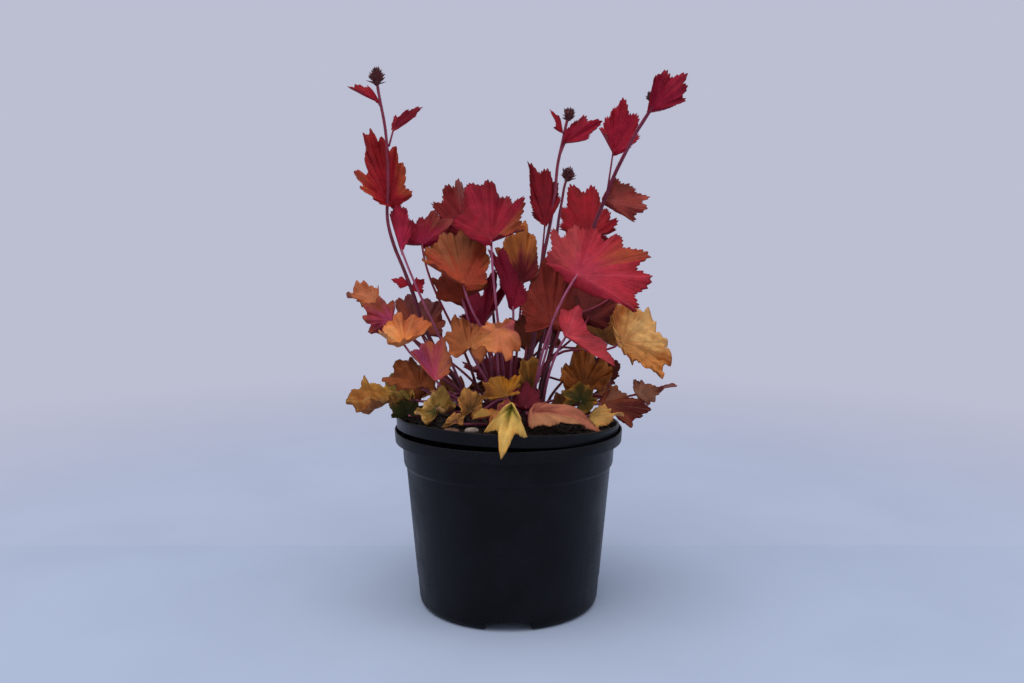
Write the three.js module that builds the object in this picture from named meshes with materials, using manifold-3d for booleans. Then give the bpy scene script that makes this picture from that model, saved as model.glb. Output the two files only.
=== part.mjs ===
// A young heuchera (coral bells) in bud, in a nursery pot that stands in a second nursery pot.
// Millimetres, +Z up. The origin is the middle of the outer pot's foot, on the surface it stands on.
// The plant is seen best from the front, which is -Y.
import * as THREE from "three";
import * as BufferGeometryUtils from "three/addons/utils/BufferGeometryUtils.js";
import Module from "manifold-3d";

const wasm = await Module();
wasm.setup();

// ---- driving dimensions ----

const POT_HEIGHT = 149;
const RIM_RADIUS = 95;
const RIM_BAND = 11; // height of the outer pot's rim band
const COLLAR_RADIUS = 88.2;
const COLLAR_FOOT = 121; // height at which the collar ends
const BODY_RADIUS = 84.2; // just below the collar
const FOOT_RADIUS = 76;
const FOOT_ROUND = 4; // rounding at the foot
const FLOOR_HEIGHT = 9; // underside of the pot's floor
const WALL = 1.5;
const FOOT_RING = 7; // width of the ring the pot stands on
const NOTCH_WIDTH = 37; // drain notches through the foot ring
const NOTCH_HEIGHT = 8;
const NOTCH_COUNT = 3;
const POT_SIDES = 28;

const INNER_RIM_RADIUS = 93;
const INNER_RIM_BAND = 10;
const INNER_COLLAR_RADIUS = 82.5;
const INNER_FOOT_RADIUS = 62;
const INNER_HEIGHT = 120;
const INNER_TOP = new THREE.Vector3(-0.5, 0, 156.5); // middle of the inner rim's top
const INNER_TILT_BACK = 3.1; // degrees, front edge up
const INNER_TILT_RIGHT = 2.2; // degrees, right edge down
const COMPOST_BELOW_RIM = 4.5;

const CROWN_RADIUS = 37;
const CROWN_TOP = 162;
const CROWN_FOOT = 140;
const ROOT_RADIUS = 33; // the stalks rise within this distance of the crown's middle
const ROOT_PLACES = 66; // more than there are stalks: some old ones have dropped
const SPREAD = new THREE.Vector2(100, 60); // half width and half depth of the plant above its crown
const STALK_FOOT = 149; // height of a stalk's buried end
const STALK_RADIUS = 1.4;
const STALK_HOLD = 0.35; // share of its reach over which a stalk keeps the direction it ends in
const STALK_STEPS = 4;
const STEM_STEPS = 12;
const TWIG_RADIUS = 0.9; // stalk of a small leaf on a flower stem
const HOLE_PLAY = 0.5; // room round a stalk in its hole
const JOIN_GAP = 0.3; // room where two pieces touch

const BLADE_THICKNESS = 0.8;
const MID_RING = 0.55; // where a blade's inner ring of points lies, as a share of the way to its edge
const SMALL_BLADE = 45; // a blade with shorter lobes than this has no inner ring, unless it is arched

// Places on the plant are taken from a front elevation: [across, up, depth], where across and up are
// measured on the upright plane through the pot's axis as sighted from EYE, and depth is how far the
// point lies behind that plane (or before it, when negative) along the same line of sight.
const EYE = new THREE.Vector3(3, -810, 320);

function place([across, up, depth]) {
  const onPlane = new THREE.Vector3(across, 0, up);
  return onPlane.sub(EYE).multiplyScalar(1 - depth / EYE.y).add(EYE);
}

// ---- colours ----

const COLOUR = {
  crimson: "#9a2038",
  magenta: "#b0406a",
  rose: "#b23a48",
  rust: "#8a4a2c",
  amber: "#a8602f",
  orange: "#d58a50",
  salmon: "#cc8460",
  gold: "#cfa055",
  tan: "#a87a48",
  olive: "#8a8440",
  dusky: "#6c2a30",
  stem: "#5e2038",
  bud: "#3a1218",
  pot: "#171a21",
  compost: "#2a1e18",
  bark: "#4a3026",
  stone: "#9a948c",
};

const ROUGHNESS = { pot: 0.4, compost: 0.95, stone: 0.7 };

function material(colour) {
  return new THREE.MeshStandardMaterial({
    color: COLOUR[colour],
    roughness: ROUGHNESS[colour] ?? 0.6,
    metalness: 0,
    side: THREE.DoubleSide,
  });
}

// ---- solids: geometry in, geometry out, through manifold-3d for the joins and cuts ----

const SLIVER = 0.02; // edges shorter than this are closed up after a join or cut

function solid(geometry) {
  const bare = geometry.clone();
  for (const name of Object.keys(bare.attributes)) {
    if (name !== "position") bare.deleteAttribute(name);
  }
  const merged = BufferGeometryUtils.mergeVertices(bare, 1e-4);
  return new wasm.Manifold(
    new wasm.Mesh({
      numProp: 3,
      vertProperties: merged.attributes.position.array,
      triVerts: new Uint32Array(merged.index.array),
    }),
  );
}

function geometryOf(manifold) {
  const mesh = manifold.getMesh();
  const geometry = new THREE.BufferGeometry();
  geometry.setAttribute("position", new THREE.BufferAttribute(mesh.vertProperties, 3));
  geometry.setIndex(new THREE.BufferAttribute(mesh.triVerts, 1));
  geometry.computeVertexNormals();
  return geometry;
}

function join(geometries) {
  return geometryOf(geometries.map(solid).reduce((a, b) => a.add(b)).simplify(SLIVER));
}

function cut(geometry, cutters) {
  const left = cutters.map(solid).reduce((a, b) => a.subtract(b), solid(geometry));
  return geometryOf(left.simplify(SLIVER));
}

function lathe(profile, sides) {
  const points = profile.map(([radius, height]) => new THREE.Vector2(radius, height));
  return new THREE.LatheGeometry(points, sides).rotateX(Math.PI / 2);
}

// ---- stalks ----

function polygon(radius, sides) {
  const shape = new THREE.Shape();
  for (let i = 0; i < sides; i++) {
    const angle = (2 * Math.PI * i) / sides;
    const x = radius * Math.cos(angle);
    const y = radius * Math.sin(angle);
    if (i === 0) shape.moveTo(x, y);
    else shape.lineTo(x, y);
  }
  return shape;
}

function tube(curve, radius, steps, sides = 3) {
  return new THREE.ExtrudeGeometry(polygon(radius, sides), { extrudePath: curve, steps });
}

// The stalk leaves the crown upright and comes to its blade half from below, half along the blade.
function stalkCurve(foot, blade) {
  const end = blade.at;
  const across = end.clone().sub(foot);
  const reach = across.length();
  const arrive = across.normalize().lerp(blade.fan, blade.sweep).normalize();
  const rise = new THREE.Vector3(0, 0, reach * blade.rise);
  return new THREE.CubicBezierCurve3(
    foot,
    foot.clone().add(rise),
    end.clone().addScaledVector(arrive, -STALK_HOLD * reach),
    end,
  );
}

// ---- blades ----

const CLEFT_BACK = 0.1; // how far behind the stalk's end the cleft lies, as a share of the blade's size
const CLEFT_FULLNESS = 0.25; // how far the edge beside the cleft swells

// A blade spreads from where its stalk meets it (at) to the tips of its lobes, which are named in order,
// clockwise as seen on its upper side. Between two tips the edge draws in to a notch; behind the last
// tip it runs back to the cleft where the stalk comes in.
// Its habit: notch and round are the depth and breadth of the notches, bulge the height of its arch, wave the
// waving of its edge as a share of its size, lean how far back it tilts for each millimetre it goes up, and
// rise and sweep bend the stalk (see stalkCurve).
const HABIT = { notch: 0.2, round: 1.6, bulge: 0, wave: 0.06, lean: 0, rise: 0.4, sweep: 0.35 };

function bladeOf(named) {
  const leaf = { ...HABIT, ...named };
  const origin = place(leaf.at);
  const tips = leaf.lobes.map(([across, up, depth]) => {
    const leant = depth + leaf.lean * (up - leaf.at[1]);
    return place([across, up, leant]).sub(origin);
  });
  const sum = new THREE.Vector3();
  const normal = new THREE.Vector3();
  tips.forEach((tip, i) => {
    sum.add(tip);
    if (i > 0) normal.add(tip.clone().cross(tips[i - 1]));
  });
  const size = tips.reduce((total, tip) => total + tip.length(), 0) / tips.length;
  const fan = sum.normalize();
  const cleft = fan.clone().multiplyScalar(-CLEFT_BACK * size);
  return { ...leaf, at: origin, tips, size, fan, cleft, normal: normal.normalize() };
}

// The edge at a share t of the way from one tip to the next, turning and stretching evenly between them.
function edgeBetween(from, to, t, notch, round) {
  const length = THREE.MathUtils.lerp(from.length(), to.length(), t);
  const direction = from.clone().normalize().lerp(to.clone().normalize(), t).normalize();
  const drawnIn = 1 - notch * Math.pow(Math.sin(Math.PI * t), round);
  return direction.multiplyScalar(length * drawnIn);
}

// The edge from the last tip back to the cleft: nearly straight, a little full.
function edgeToCleft(tip, cleft, t) {
  return tip.clone().lerp(cleft, t).multiplyScalar(1 + CLEFT_FULLNESS * Math.sin(Math.PI * t));
}

const GAP_SHARES = [0, 0.22, 0.5, 0.78]; // where the edge is sampled between two lobe tips
const FEW_SHARES = [0, 0.5]; // and where on the smallest blades
const SMALLEST_BLADE = 24;
const CLEFT_STEPS = 2;

// Points round the edge, each with how far it is lifted off the blade's plane by the waving of the edge.
function bladeEdge(blade) {
  const { tips, cleft, notch, round, wave, size } = blade;
  const shares = size < SMALLEST_BLADE ? FEW_SHARES : GAP_SHARES;
  const edge = [{ point: cleft, lift: 0 }];
  for (let i = CLEFT_STEPS - 1; i > 0; i--) {
    edge.push({ point: edgeToCleft(tips[0], cleft, i / CLEFT_STEPS), lift: 0 });
  }
  for (let k = 0; k < tips.length - 1; k++) {
    const side = k % 2 ? -1 : 1;
    for (const t of shares) {
      const point = edgeBetween(tips[k], tips[k + 1], t, notch, round);
      edge.push({ point, lift: side * wave * size * Math.sin(Math.PI * t) });
    }
  }
  const last = tips[tips.length - 1];
  edge.push({ point: last, lift: 0 });
  for (let i = 1; i < CLEFT_STEPS; i++) {
    edge.push({ point: edgeToCleft(last, cleft, i / CLEFT_STEPS), lift: 0 });
  }
  return edge;
}

// One face of the blade as points and triangles: the middle, a ring half way out, and the edge.
function bladeSheet(blade) {
  const edge = bladeEdge(blade);
  const across = (share, { point, lift }) => {
    const arch = 4 * blade.bulge * share * (1 - share) + lift * share * share;
    return point.clone().multiplyScalar(share).addScaledVector(blade.normal, arch).add(blade.at);
  };
  const plain = blade.size < SMALL_BLADE && blade.bulge === 0;
  const ring = plain ? [] : edge.filter((_, i) => i % 2 === 0);
  const points = [blade.at.clone()];
  for (const step of ring) points.push(across(MID_RING, step));
  for (const step of edge) points.push(across(1, step));
  const triangles = [];
  const inner = (i) => 1 + (i % ring.length);
  const outer = (i) => 1 + ring.length + (i % edge.length);
  for (let i = 0; i < ring.length; i++) {
    triangles.push([0, inner(i + 1), inner(i)]);
    triangles.push([inner(i), outer(2 * i + 1), outer(2 * i)]);
    triangles.push([inner(i), inner(i + 1), outer(2 * i + 1)]);
    triangles.push([inner(i + 1), outer(2 * i + 2), outer(2 * i + 1)]);
  }
  if (ring.length === 0) edge.forEach((_, i) => triangles.push([0, outer(i + 1), outer(i)]));
  return { points, triangles, rim: edge.map((_, i) => outer(i)) };
}

// Thickens the sheet to a closed blade, half each way along the normals, with both faces split alike.
function bladeGeometry(blade) {
  const { points, triangles, rim } = bladeSheet(blade);
  const normals = points.map(() => new THREE.Vector3());
  for (const [a, b, c] of triangles) {
    const ab = points[b].clone().sub(points[a]);
    const face = ab.cross(points[c].clone().sub(points[a]));
    for (const i of [a, b, c]) normals[i].add(face);
  }
  const position = [];
  for (const side of [0.5, -0.5]) {
    points.forEach((point, i) => {
      const offset = normals[i].clone().normalize().multiplyScalar(side * BLADE_THICKNESS);
      position.push(...point.clone().add(offset).toArray());
    });
  }
  const index = [];
  const below = points.length;
  for (const [a, b, c] of triangles) index.push(a, b, c, a + below, c + below, b + below);
  rim.forEach((a, i) => {
    const b = rim[(i + 1) % rim.length];
    index.push(a, b, b + below, a, b + below, a + below);
  });
  const geometry = new THREE.BufferGeometry();
  geometry.setAttribute("position", new THREE.Float32BufferAttribute(position, 3));
  geometry.setIndex(index);
  return geometry;
}

// ---- the leaves ----

const sharp = { notch: 0.26, round: 1.2, wave: 0.05 };
const soft = { notch: 0.16, round: 2.4, wave: 0.07 };
const frilled = { notch: 0.2, round: 1.6, wave: 0.16 };

const LEAVES = [
  {
    name: "leaf_left_tip", colour: "salmon", ...soft, rise: 0.2, sweep: 0.1, lean: 0.3,
    at: [-107, 253, 36],
    lobes: [[-122, 253, 30], [-134, 257, 38], [-127, 265, 46], [-118, 268, 52], [-108, 266, 54]],
    second: {
      at: [-92, 172, 22], rise: 0.4, sweep: 0.35,
      lobes: [[-84, 180, 36], [-96, 178, 46], [-110, 172, 42], [-114, 168, 28], [-104, 168, 14]],
    },
  },
  {
    name: "leaf_left_round", colour: "magenta", ...soft, lean: 0.5, at: [-97, 238, 8],
    lobes: [[-93, 256, 8], [-106, 259, 4], [-119, 252, 0], [-121, 240, 0], [-114, 230, 2],
      [-104, 229, 6]],
  },
  {
    name: "leaf_left_bright", colour: "orange", ...soft, lean: 0.7, at: [-87, 218, -32],
    lobes: [[-100, 213, -42], [-108, 222, -42], [-102, 237, -36], [-91, 251, -28], [-78, 246, -26],
      [-64, 229, -38]],
  },
  {
    name: "leaf_left_brown", colour: "rust", ...soft, lean: 0.6, rise: 0.2, sweep: 0.35,
    at: [-73, 228, 30],
    lobes: [[-84, 219, 22], [-92, 240, 26], [-92, 254, 28], [-82, 260, 32], [-68, 258, 32],
      [-57, 249, 30], [-54, 236, 26], [-57, 222, 22]],
  },
  {
    name: "leaf_left_pink", colour: "magenta", ...soft, lean: 0.3, at: [-61, 189, -44],
    lobes: [[-80, 210, -42], [-67, 220, -38], [-55, 225, -40], [-48, 207, -48], [-50, 192, -50]],
  },
  {
    name: "leaf_left_amber", colour: "amber", ...soft, lean: 0.5, at: [-74, 182, -30],
    lobes: [[-92, 178, -48], [-105, 190, -40], [-94, 202, -28], [-81, 205, -20], [-67, 194, -18],
      [-64, 178, -30]],
  },
  {
    name: "leaf_left_low", colour: "olive", ...frilled, at: [-82, 172, -4],
    lobes: [[-95, 166, -32], [-121, 163, -24], [-136, 170, -4], [-118, 184, 18], [-100, 187, 28],
      [-86, 184, 30]],
    second: {
      at: [-84, 158, -34], rise: 1,
      lobes: [[-98, 156, -40], [-100, 167, -36], [-88, 172, -30], [-76, 169, -30], [-72, 159, -34]],
    },
  },
  {
    name: "leaf_stem_magenta", colour: "magenta", ...sharp, lean: 0.4, rise: 0.2, sweep: 0.1,
    at: [-88, 297, -2],
    lobes: [[-98, 328, 0], [-91, 337, 2], [-84, 333, 2], [-80, 320, 0], [-80, 308, -4]],
  },
  {
    name: "leaf_left_crimson", colour: "crimson", ...sharp, lean: 0.6, at: [-71, 301, 30],
    lobes: [[-88, 299, 26], [-80, 318, 28], [-73, 325, 32], [-60, 326, 34], [-44, 323, 34],
      [-50, 309, 30]],
  },
  {
    name: "leaf_mid_back", colour: "rust", ...sharp, lean: 0.5, rise: 1, sweep: 0.1, at: [-34, 308, 50],
    lobes: [[-58, 318, 46], [-63, 332, 46], [-52, 346, 48], [-41, 352, 50], [-26, 345, 52]],
    second: {
      at: [-24, 194, 50], rise: 0.4, sweep: 0.35,
      lobes: [[-11, 198, 56], [-12, 202, 69], [-26, 204, 75], [-38, 200, 69], [-37, 196, 56]],
    },
  },
  {
    name: "leaf_mid_fan", colour: "crimson", ...sharp, lean: 0.8, at: [-14, 304, -28],
    lobes: [[-32, 307, -36], [-45, 327, -30], [-32, 351, -22], [-14, 347, -20], [-1, 345, -20],
      [13, 331, -26], [14, 317, -32], [6, 307, -36]],
  },
  {
    name: "leaf_mid_amber", colour: "amber", ...soft, lean: 0.7, rise: 0.8, sweep: 0.1,
    at: [-37, 268, -32],
    lobes: [[-58, 277, -42], [-71, 288, -40], [-68, 303, -36], [-53, 314, -28], [-36, 314, -26],
      [-20, 303, -28], [-16, 285, -34], [-19, 270, -40]],
  },
  {
    name: "leaf_mid_rust", colour: "rust", ...soft, lean: 0.5, at: [-38, 256, -10],
    lobes: [[-57, 259, -16], [-62, 269, -14], [-50, 280, -6], [-30, 280, -4], [-18, 266, -8],
      [-28, 260, -14]],
    second: {
      at: [-9, 188, 15],
      lobes: [[-25, 190, 15], [-21, 205, 17], [-6, 211, 19], [9, 205, 17], [11, 191, 15]],
    },
  },
  {
    name: "leaf_mid_orange", colour: "orange", ...soft, lean: 0.4, at: [11, 270, 24],
    lobes: [[-3, 276, 18], [-9, 295, 20], [0, 305, 24], [14, 317, 28], [21, 304, 28], [24, 288, 26],
      [23, 273, 22]],
    second: {
      at: [15, 216, 2],
      lobes: [[0, 224, 2], [2, 238, 4], [13, 244, 6], [24, 239, 4], [28, 226, 2]],
    },
  },
  {
    name: "leaf_mid_magenta", colour: "magenta", ...sharp, lean: 0.3, at: [4, 250, -6],
    lobes: [[-2, 262, -12], [-11, 289, -8], [0, 291, -2], [8, 268, 0], [13, 252, -6]],
    second: {
      at: [15, 165, -49], rise: 0.6, sweep: 0.1,
      lobes: [[4, 168, -47], [6, 178, -45], [15, 182, -43], [24, 177, -45], [26, 169, -47]],
    },
  },
  {
    name: "leaf_young", colour: "dusky", ...sharp, lean: 0.6, at: [-20, 236, 14],
    lobes: [[-36, 238, 10], [-44, 252, 10], [-31, 263, 16], [-14, 266, 20], [0, 264, 20], [-6, 252, 16]],
  },
  {
    name: "leaf_mid_tan", colour: "tan", ...soft, lean: 0.7, at: [-33, 215, -38],
    lobes: [[-45, 203, -48], [-53, 225, -42], [-46, 236, -36], [-37, 238, -32], [-27, 231, -34],
      [-24, 203, -46]],
  },
  {
    name: "leaf_front_salmon", colour: "salmon", ...soft, lean: 0.5, rise: 0.2, sweep: 0.6,
    at: [-10, 231, -48],
    lobes: [[2, 237, -44], [11, 224, -52], [-1, 208, -60], [-11, 204, -63], [-31, 212, -60],
      [-22, 227, -52], [-13, 239, -44]],
  },
  {
    name: "leaf_front_amber", colour: "gold", ...soft, at: [-2, 175, -44],
    lobes: [[-22, 172, -56], [-23, 184, -50], [-16, 188, -44], [-5, 191, -38], [8, 190, -36],
      [11, 184, -40], [8, 175, -50]],
  },
  {
    name: "leaf_front_green", colour: "olive", ...frilled, rise: 0.2, sweep: 0.1, at: [17, 180, -16],
    lobes: [[11, 182, -22], [13, 207, -16], [21, 208, -10], [25, 190, -12], [27, 178, -18]],
  },
  {
    name: "leaf_front_star", colour: "gold", notch: 0.42, round: 1, wave: 0.04, bulge: 7, rise: 0.2, sweep: 0.1,
    at: [3, 165, -84],
    lobes: [[11, 154, -102], [16, 138, -107], [-6, 119, -110], [-20, 142, -106], [-8, 160, -92]],
  },
  {
    name: "leaf_front_cupped", colour: "olive", ...soft, bulge: -5, rise: 0.5, sweep: 0.1,
    at: [-60, 164, -56],
    lobes: [[-70, 152, -68], [-79, 161, -58], [-68, 176, -46], [-53, 180, -44], [-44, 169, -54],
      [-51, 160, -64]],
  },
  {
    name: "leaf_front_curled", colour: "tan", ...frilled, rise: 0.2, sweep: 0.1, at: [-45, 152, -66],
    lobes: [[-56, 147, -70], [-52, 154, -68], [-46, 160, -62], [-38, 157, -60], [-38, 150, -68]],
  },
  {
    name: "leaf_front_tan", colour: "tan", ...soft, rise: 1, sweep: 0.1, at: [-32, 161, -52],
    lobes: [[-40, 156, -60], [-43, 170, -54], [-36, 183, -44], [-22, 172, -46], [-22, 163, -52],
      [-29, 156, -62]],
  },
  {
    name: "leaf_front_yellow", colour: "gold", ...sharp, rise: 0.4, sweep: 0.1, at: [-15, 157, -66],
    lobes: [[-31, 154, -74], [-21, 164, -64], [-12, 162, -58], [-7, 152, -70], [-17, 149, -78]],
    second: {
      at: [-3, 162, -60],
      lobes: [[-10, 158, -62], [-9, 167, -58], [0, 173, -52], [6, 167, -54], [4, 160, -60]],
    },
  },
  {
    name: "leaf_front_peach", colour: "salmon", notch: 0.12, round: 2, wave: 0.04, bulge: 5, rise: 0.8,
    at: [20, 160, -58],
    lobes: [[24, 171, -46], [38, 169, -46], [54, 160, -48], [81, 149, -50], [60, 148, -64],
      [38, 147, -72], [17, 148, -74]],
  },
  {
    name: "leaf_right_fan", colour: "rose", ...sharp, lean: 0.8, rise: 0.2, sweep: 0.6,
    at: [57, 276, -54],
    lobes: [[31, 291, -62], [35, 307, -58], [54, 318, -52], [73, 316, -48], [89, 309, -48],
      [119, 301, -52], [110, 291, -56], [119, 277, -60], [107, 252, -68]],
  },
  {
    name: "leaf_right_cream", colour: "gold", ...frilled, rise: 0.2, sweep: 0.6, at: [68, 158, -36],
    lobes: [[72, 164, -30], [84, 165, -28], [97, 159, -32], [86, 154, -42], [73, 152, -46]],
  },
  {
    name: "leaf_right_red", colour: "rose", ...soft, rise: 0.6, at: [78, 168, -14],
    lobes: [[84, 177, -4], [97, 173, -4], [112, 175, -8], [120, 164, -16], [112, 156, -20],
      [104, 151, -26], [92, 160, -24]],
  },
  {
    name: "leaf_right_thin", colour: "rust", ...frilled, rise: 0.5, at: [108, 176, 2],
    lobes: [[106, 183, 10], [120, 185, 8], [141, 183, -6], [128, 178, -12], [114, 171, -10]],
    second: {
      at: [66, 174, 70], rise: 0.2,
      lobes: [[80, 178, 66], [84, 174, 82], [72, 168, 94], [58, 174, 90], [54, 180, 76]],
    },
  },
  {
    name: "leaf_right_peach", colour: "salmon", ...soft, at: [80, 172, 10],
    lobes: [[73, 184, 16], [84, 186, 20], [91, 184, 18], [95, 174, 12], [88, 168, 0]],
  },
  {
    name: "leaf_right_ruffled", colour: "amber", ...frilled, lean: 0.6, rise: 0.6, sweep: 0.35,
    at: [62, 180, -22],
    lobes: [[46, 182, -30], [50, 200, -20], [57, 210, -14], [69, 211, -12], [79, 201, -14],
      [86, 192, -18], [80, 181, -26]],
  },
  {
    name: "leaf_right_green", colour: "olive", ...frilled, rise: 0.2, sweep: 0.1, at: [61, 170, -30],
    lobes: [[46, 166, -42], [44, 178, -36], [56, 184, -28], [70, 182, -26], [74, 170, -30],
      [66, 160, -40], [53, 158, -44]],
  },
  {
    name: "leaf_right_back", colour: "crimson", ...sharp, lean: 0.6, rise: 0.4, sweep: 0.6,
    at: [66, 306, 54],
    lobes: [[42, 312, 50], [43, 332, 52], [50, 349, 58], [71, 351, 58], [83, 331, 56], [90, 320, 54],
      [87, 309, 52]],
  },
  {
    name: "leaf_mid_brown", colour: "rust", ...soft, lean: 0.3, rise: 0.2, sweep: 0.6,
    at: [36, 236, -34],
    lobes: [[14, 226, -42], [10, 246, -40], [18, 266, -36], [29, 287, -30], [44, 285, -28],
      [53, 272, -30], [60, 250, -34], [54, 230, -40]],
    second: {
      at: [46, 158, -35], sweep: 0.35,
      lobes: [[36, 166, -37], [40, 178, -35], [49, 181, -33], [56, 174, -33], [56, 164, -35]],
    },
  },
  {
    name: "leaf_right_dusky", colour: "dusky", ...soft, lean: 0.6, rise: 0.6, sweep: 0.6,
    at: [66, 240, 30],
    lobes: [[52, 250, 26], [56, 268, 30], [74, 270, 34], [86, 262, 34], [86, 249, 30], [80, 235, 26]],
    second: {
      at: [42, 230, 15], rise: 0.4, sweep: 0.35,
      lobes: [[28, 238, 13], [30, 254, 15], [42, 262, 17], [56, 256, 15], [58, 240, 13]],
    },
  },
  {
    name: "leaf_right_pink", colour: "rose", ...soft, lean: 0.2, rise: 0.2, sweep: 0.35,
    at: [48, 225, -52],
    lobes: [[41, 238, -54], [45, 250, -50], [57, 249, -46], [66, 232, -48], [81, 222, -50],
      [87, 198, -60]],
  },
  {
    name: "leaf_right_gold", colour: "gold", ...soft, lean: 0.5, rise: 1, sweep: 0.1, at: [94, 220, 4],
    lobes: [[86, 240, 10], [91, 251, 14], [103, 249, 12], [119, 243, 6], [131, 225, -2],
      [136, 206, -10], [128, 188, -18], [104, 202, -14]],
  },
  {
    name: "leaf_right_tan", colour: "tan", ...soft, lean: 0.7, at: [78, 222, 44],
    lobes: [[66, 229, 40], [64, 244, 42], [76, 246, 46], [88, 248, 48], [95, 236, 46], [88, 215, 40]],
    second: {
      at: [76, 188, 20],
      lobes: [[65, 194, 20], [68, 206, 22], [80, 209, 24], [91, 201, 20], [90, 190, 18]],
    },
  },
  {
    name: "leaf_back_left", colour: "amber", ...soft, at: [-70, 184, 40],
    lobes: [[-60, 198, 46], [-74, 202, 62], [-90, 190, 60], [-92, 178, 46], [-76, 174, 34]],
    second: {
      at: [-72, 228, 52],
      lobes: [[-60, 236, 60], [-66, 250, 68], [-80, 252, 70], [-88, 240, 66], [-84, 228, 58]],
    },
  },
  {
    name: "leaf_back_centre", colour: "olive", ...soft, rise: 0.7, at: [4, 184, 74],
    lobes: [[22, 186, 72], [20, 176, 96], [4, 168, 108], [-14, 174, 98], [-16, 186, 74]],
    second: {
      at: [-6, 214, 66],
      lobes: [[10, 212, 74], [6, 226, 84], [-8, 230, 88], [-20, 224, 82], [-22, 212, 72]],
    },
  },
  {
    name: "leaf_back_right", colour: "rust", ...soft, rise: 1, sweep: 0.1, at: [66, 186, 46],
    lobes: [[84, 182, 44], [80, 184, 66], [62, 188, 78], [48, 192, 66], [50, 196, 48]],
    second: {
      at: [74, 222, 60],
      lobes: [[90, 226, 64], [88, 240, 74], [76, 246, 78], [66, 240, 74], [60, 228, 66]],
    },
  },
  {
    name: "leaf_back_low", colour: "gold", ...frilled, rise: 0.7, at: [-36, 180, 62],
    lobes: [[-22, 188, 66], [-24, 178, 86], [-40, 170, 96], [-54, 176, 84], [-54, 184, 66]],
    second: {
      at: [-60, 176, 70], rise: 0.5,
      lobes: [[-50, 182, 78], [-60, 180, 92], [-76, 174, 94], [-86, 172, 80], [-76, 178, 66]],
    },
  },
  {
    name: "leaf_back_tall", colour: "orange", ...soft, lean: -0.3, rise: 0.2, sweep: 0.6,
    at: [-30, 220, 56],
    lobes: [[-16, 214, 62], [-14, 228, 70], [-28, 236, 72], [-42, 226, 66], [-40, 210, 58]],
    second: {
      at: [-44, 284, 46],
      lobes: [[-32, 290, 52], [-34, 302, 58], [-46, 308, 62], [-60, 300, 58], [-62, 286, 50]],
    },
  },
  {
    name: "leaf_back_middle", colour: "rust", ...soft, lean: -0.3, at: [22, 224, 64],
    lobes: [[40, 218, 68], [38, 232, 76], [22, 240, 80], [6, 230, 76], [6, 216, 68]],
    second: {
      at: [34, 258, 50],
      lobes: [[50, 256, 56], [48, 270, 64], [36, 278, 68], [22, 272, 64], [18, 258, 56]],
    },
  },
  {
    name: "leaf_back_upper", colour: "crimson", ...sharp, lean: 0.5, rise: 0.8, sweep: 0.35,
    at: [64, 284, 62],
    lobes: [[84, 290, 64], [80, 304, 72], [66, 312, 76], [52, 304, 72], [46, 290, 64]],
    second: {
      at: [92, 268, 46],
      lobes: [[106, 274, 52], [100, 286, 60], [90, 292, 62], [80, 288, 58], [78, 274, 50]],
    },
  },
];

// ---- the flower stems ----

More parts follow.
